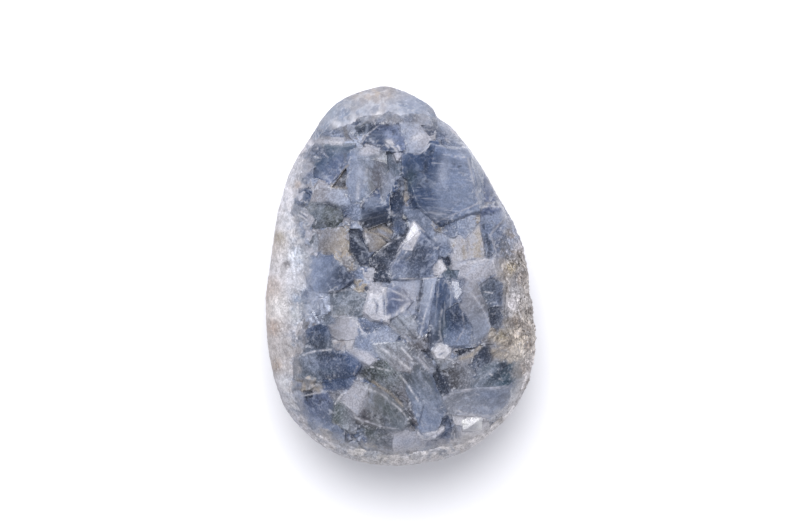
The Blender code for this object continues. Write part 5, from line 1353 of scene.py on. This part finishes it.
def maths(tree, operation, a, b):
    return put(tree, "ShaderNodeMath", {0: a, 1: b}, operation=operation).outputs[0]


def times(tree, a, b):
    return maths(tree, "MULTIPLY", a, b)


def plus(tree, a, b):
    return maths(tree, "ADD", a, b)


# %% More shader helpers
def attribute(tree, name):
    return put(tree, "ShaderNodeAttribute", attribute_name=name)


def clouds(tree, place, scale, detail=3.0, rough=0.6, distort=0.0):
    """Blender's own noise, from 0 to 1. scale is in lumps to a millimetre."""
    inputs = {"Vector": place, "Scale": scale, "Detail": detail, "Roughness": rough, "Distortion": distort}
    return put(tree, "ShaderNodeTexNoise", inputs).outputs[0]


def stretched(tree, place, factors):
    return put(tree, "ShaderNodeVectorMath", {0: place, 1: factors}, operation="MULTIPLY").outputs[0]


def scaled(tree, colour, factor):
    inputs = {0: colour, "Scale": factor}
    return put(tree, "ShaderNodeVectorMath", inputs, operation="SCALE").outputs[0]


def join_relief(tree, shader, height):
    """Lets a height in the finish bend the light like relief of half a millimetre."""
    bump = put(tree, "ShaderNodeBump", {"Height": height, "Strength": 0.8, "Distance": 0.0005})
    tree.links.new(bump.outputs[0], shader.inputs["Normal"])


# %% [markdown]
# Matrix rock is fine-grained and dull. Seen close it has a sandy speckle, small grey pits, dark cracks with
# dirt in them, and white grains. One noise would give the speckle alone. Each of these has its own size and
# colour, so each has its own noise. Cracks are the places where a noise passes its middle value.

# %% Rock grain
ROCK_LIGHT = 0.76  # the tones were chosen under the table's light, which is brighter than 1
PITS, CRACKS, DIRT, WHITE = seen(146, 143, 154), seen(70, 64, 64), seen(105, 99, 96), seen(240, 237, 242)


def rock_shade(tree, coarse, sandy, wear):
    """The rock's speckle, stronger where it is worn."""
    dark_end = plus(tree, 0.78, times(tree, wear, -0.3))
    bright_end = plus(tree, 1.26, times(tree, wear, 0.42))
    broad = curve(tree, coarse, 0.35, 0.65, dark_end, 1.14)
    shade = times(tree, broad, curve(tree, sandy, 0.36, 0.64, dark_end, bright_end))
    return times(tree, shade, ROCK_LIGHT)


def crack_lines(tree, place, coarse, amount):
    """Thin lines where a noise passes its middle value."""
    lines = clouds(tree, stretched(tree, place, (1, 0.5, 0.8)), 0.3, 4, 0.62, 1.2)
    gap = maths(tree, "ABSOLUTE", maths(tree, "SUBTRACT", lines, 0.5), 0.0)
    cracks = times(tree, curve(tree, gap, 0.022, 0.004), curve(tree, coarse, 0.42, 0.52, 0, 1))
    return times(tree, cracks, amount)


def rock_grain(tree, place, tint, wear):
    """The rock's body colour and its relief. wear from 0 to 1 adds dark cracks and dirt."""
    coarse = clouds(tree, place, 0.4, 6, 0.7, 0.3)
    sandy = clouds(tree, place, 1.7, 5, 0.85)
    grit = curve(tree, wear, -0.6, 0.2, 0.35, 1.0)
    amount = curve(tree, wear, -0.6, 1.0, 0.0, 0.95)
    pits = times(tree, curve(tree, clouds(tree, place, 0.85, 4, 0.75, 0.5), 0.56, 0.63, 0, 0.45), grit)
    cracks = crack_lines(tree, place, coarse, amount)
    dirt = times(tree, curve(tree, clouds(tree, place, 0.6, 6, 0.8), 0.53, 0.6, 0, 0.6), amount)
    white = times(tree, curve(tree, clouds(tree, place, 1.1, 4, 0.75), 0.55, 0.62, 0, 0.6), grit)
    body = scaled(tree, tint, rock_shade(tree, coarse, sandy, wear))
    for share, colour in ((pits, PITS), (cracks, CRACKS), (dirt, DIRT), (white, WHITE)):
        body = mixed(tree, share, body, colour * ROCK_LIGHT)
    return body, plus(tree, times(tree, sandy, 0.5), maths(tree, "SUBTRACT", coarse, cracks))


# %% [markdown]
# Celestite is a glassy crystal, but this one is mostly cloudy. Pure glass would show only the table and
# the lamp, so the crystal is a third see-through, takes up light on its way like blue-grey glass, and
# carries its flaws on the surface: veils, fine lines along its length, specks of dust and white bruises.

# %% What a crystal is made of
LIGHTNESS = 0.7  # the tones were chosen under the table's light, which is brighter than 1
FLAW_LIGHT = 0.8
VEIL_BLUE, LINE_WHITE, DUST, BRUISE = (
    seen(176, 184, 206), seen(206, 208, 222), seen(190, 192, 204), seen(224, 225, 236)
)  # fmt: skip


def crystal_fields(tree):
    """Noise in the crystal's own frame: broad clouds, fine grain, and lines along its length."""
    place = attribute(tree, "grain").outputs["Vector"]
    broad = clouds(tree, stretched(tree, place, (1, 1.4, 0.8)), 0.42, 5, 0.65, 0.4)
    small = clouds(tree, place, 1.9, 4, 0.75)
    lines = clouds(tree, stretched(tree, place, (0.07, 1.1, 0.5)), 1.0, 4, 0.65, 0.15)
    return broad, small, lines


def crystal_body(tree, tone, broad, small, lines):
    """The crystal's colour with its flaws, and where it is dusty and where it is bruised."""
    look = attribute(tree, "look")
    veil, dust, edge = put(tree, "ShaderNodeSeparateColor", {0: look.outputs["Color"]}).outputs
    grit = plus(tree, 0.11, times(tree, dust, 0.5))
    low, high = maths(tree, "SUBTRACT", 1.0, grit), plus(tree, 1.0, grit)
    shade = curve(tree, broad, 0.3, 0.72, 0.88, 1.12)
    shade = times(tree, shade, curve(tree, small, 0.41, 0.59, low, high))
    veils = times(tree, veil, curve(tree, broad, 0.5, 0.66, 0.0, 0.75))
    streaks = times(tree, look.outputs["Alpha"], curve(tree, lines, 0.55, 0.7, 0.0, 0.35))
    specks = times(tree, dust, curve(tree, small, 0.55, 0.61, 0.0, 0.9))
    bruise = times(tree, curve(tree, edge, 0.2, 1.0, 0, 0.9), curve(tree, broad, 0.36, 0.6, 0.1, 1))
    body = scaled(tree, tone, times(tree, shade, LIGHTNESS))
    for share, colour in ((veils, VEIL_BLUE), (streaks, LINE_WHITE), (specks, DUST), (bruise, BRUISE)):
        body = mixed(tree, share, body, colour * FLAW_LIGHT)
    return body, specks, bruise


# %% Celestite
POLISH, ROCK_POLISH = 0.12, 0.65  # how rough a clean face is, and the rock between the crystals
CRYSTAL_BEND, CRYSTAL_SHINE, SEE_THROUGH = 1.62, 0.08, 0.3
INSIDE, DENSITY = (0.42, 0.55, 0.78, 1), 250.0  # the colour that light takes up inside


def crystal_roughness(tree, specks, bruise, rocky):
    dusty = plus(tree, POLISH, times(tree, specks, 0.3))
    rough = maths(tree, "MAXIMUM", dusty, times(tree, bruise, 0.45))
    return maths(tree, "MAXIMUM", rough, times(tree, rocky, ROCK_POLISH))


def celestite():
    tree, shader, material = new_material("celestite")
    broad, small, lines = crystal_fields(tree)
    toned = attribute(tree, "tone")
    tone, rocky = toned.outputs["Color"], toned.outputs["Alpha"]
    body, specks, bruise = crystal_body(tree, tone, broad, small, lines)
    solid = put(tree, "ShaderNodeTexCoord").outputs["Object"]
    right = put(tree, "ShaderNodeSeparateXYZ", {0: solid}).outputs[0]
    wear = curve(tree, right, 0.02, 0.028, -0.2, 0.45)
    stone, relief = rock_grain(tree, stretched(tree, solid, (1000, 1000, 1000)), tone, wear)
    tree.links.new(mixed(tree, rocky, body, stone), shader.inputs["Base Color"])
    tree.links.new(crystal_roughness(tree, specks, bruise, rocky), shader.inputs["Roughness"])
    height = plus(tree, times(tree, lines, 0.25), times(tree, small, 0.2))
    height = times(tree, plus(tree, height, broad), 0.05)
    join_relief(tree, shader, plus(tree, height, times(tree, relief, rocky)))
    shader.inputs["IOR"].default_value = CRYSTAL_BEND
    shader.inputs["Specular IOR Level"].default_value = CRYSTAL_SHINE
    shader.inputs["Transmission Weight"].default_value = SEE_THROUGH
    absorb = put(tree, "ShaderNodeVolumeAbsorption", {"Color": INSIDE, "Density": DENSITY})
    tree.links.new(absorb.outputs[0], tree.nodes["Material Output"].inputs["Volume"])
    return material


crystal_crust.data.materials.append(celestite())
print("celestite has", len(crystal_crust.data.materials[0].node_tree.nodes), "nodes")

# %% [markdown]
# The matrix takes its colour and its wear from the points and gets the rock grain over them. It is ground
# but not polished, so it is rough and hardly shines.


# %% Matrix rock
def matrix_finish():
    tree, shader, material = new_material("matrix_rock")
    solid = put(tree, "ShaderNodeTexCoord").outputs["Object"]
    tint = attribute(tree, "tint").outputs["Color"]
    wear = put(tree, "ShaderNodeSeparateColor", {0: attribute(tree, "wear").outputs["Color"]}).outputs[0]
    body, height = rock_grain(tree, stretched(tree, solid, (1000, 1000, 1000)), tint, wear)
    tree.links.new(body, shader.inputs["Base Color"])
    shader.inputs["Roughness"].default_value = 0.72
    join_relief(tree, shader, height)
    return material


matrix_rock.data.materials.append(matrix_finish())
print("the rock has", len(matrix_rock.data.materials[0].node_tree.nodes), "nodes")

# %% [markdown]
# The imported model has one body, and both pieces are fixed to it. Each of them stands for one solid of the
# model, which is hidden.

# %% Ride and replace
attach(matrix_rock, "root")
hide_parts("matrix")
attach(crystal_crust, "root")
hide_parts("crystal_crust")

# %% [markdown]
# The table is plain, pale and wide. A wooden or veined top would draw the eye from the stone, so a matt
# surface without a pattern is enough.

# %% Table
bpy.ops.mesh.primitive_plane_add(size=4)
table = bpy.context.active_object
table.name = "table"
tree, shader, material = new_material("table")
shader.inputs["Base Color"].default_value = (0.8, 0.8, 0.83, 1)
shader.inputs["Roughness"].default_value = 0.9
table.data.materials.append(material)
print("the table is", table.dimensions.x, "m wide")

# %% [markdown]
# The shadows are soft and fall to the lower right, so one large lamp stands at the upper left, high over
# the stone. A sun would give hard edges. An even pale surround fills the shadows.

# %% Light
world = bpy.data.worlds.new("surround")
bpy.context.scene.world = world
world.use_nodes = True
surround = world.node_tree.nodes["Background"]
surround.inputs["Color"].default_value = (0.95, 0.96, 1.0, 1)
surround.inputs["Strength"].default_value = 0.72

LAMP_FAR, LAMP_HEIGHT = 0.9, math.radians(66)
lamp = bpy.data.lights.new("soft_lamp", "AREA")
lamp.shape = "DISK"
lamp.size = 0.62
lamp.energy = 9.5
holder = bpy.data.objects.new("soft_lamp", lamp)
bpy.context.scene.collection.objects.link(holder)
aim = Vector((0, 0, 0.04))
towards = Vector((-0.14 * math.cos(LAMP_HEIGHT), 0.95 * math.cos(LAMP_HEIGHT), math.sin(LAMP_HEIGHT)))
holder.location = aim + towards * LAMP_FAR
holder.rotation_euler = (aim - holder.location).to_track_quat("-Z", "Y").to_euler()
print("the lamp stands at", [round(v, 2) for v in holder.location], "m")

# %% [markdown]
# The camera looks straight down from well above, through a long lens, so that the stone isn't distorted.

# %% Camera
camera = bpy.data.cameras.new("camera")
camera.lens = 100
camera.sensor_width = 36
viewer = bpy.data.objects.new("camera", camera)
bpy.context.scene.collection.objects.link(viewer)
viewer.location = (-0.00101, 0.00333, 0.6665)
bpy.context.scene.camera = viewer
bpy.context.scene.view_settings.view_transform = "Standard"
print("the camera hangs", round(viewer.location.z, 2), "m over the table")
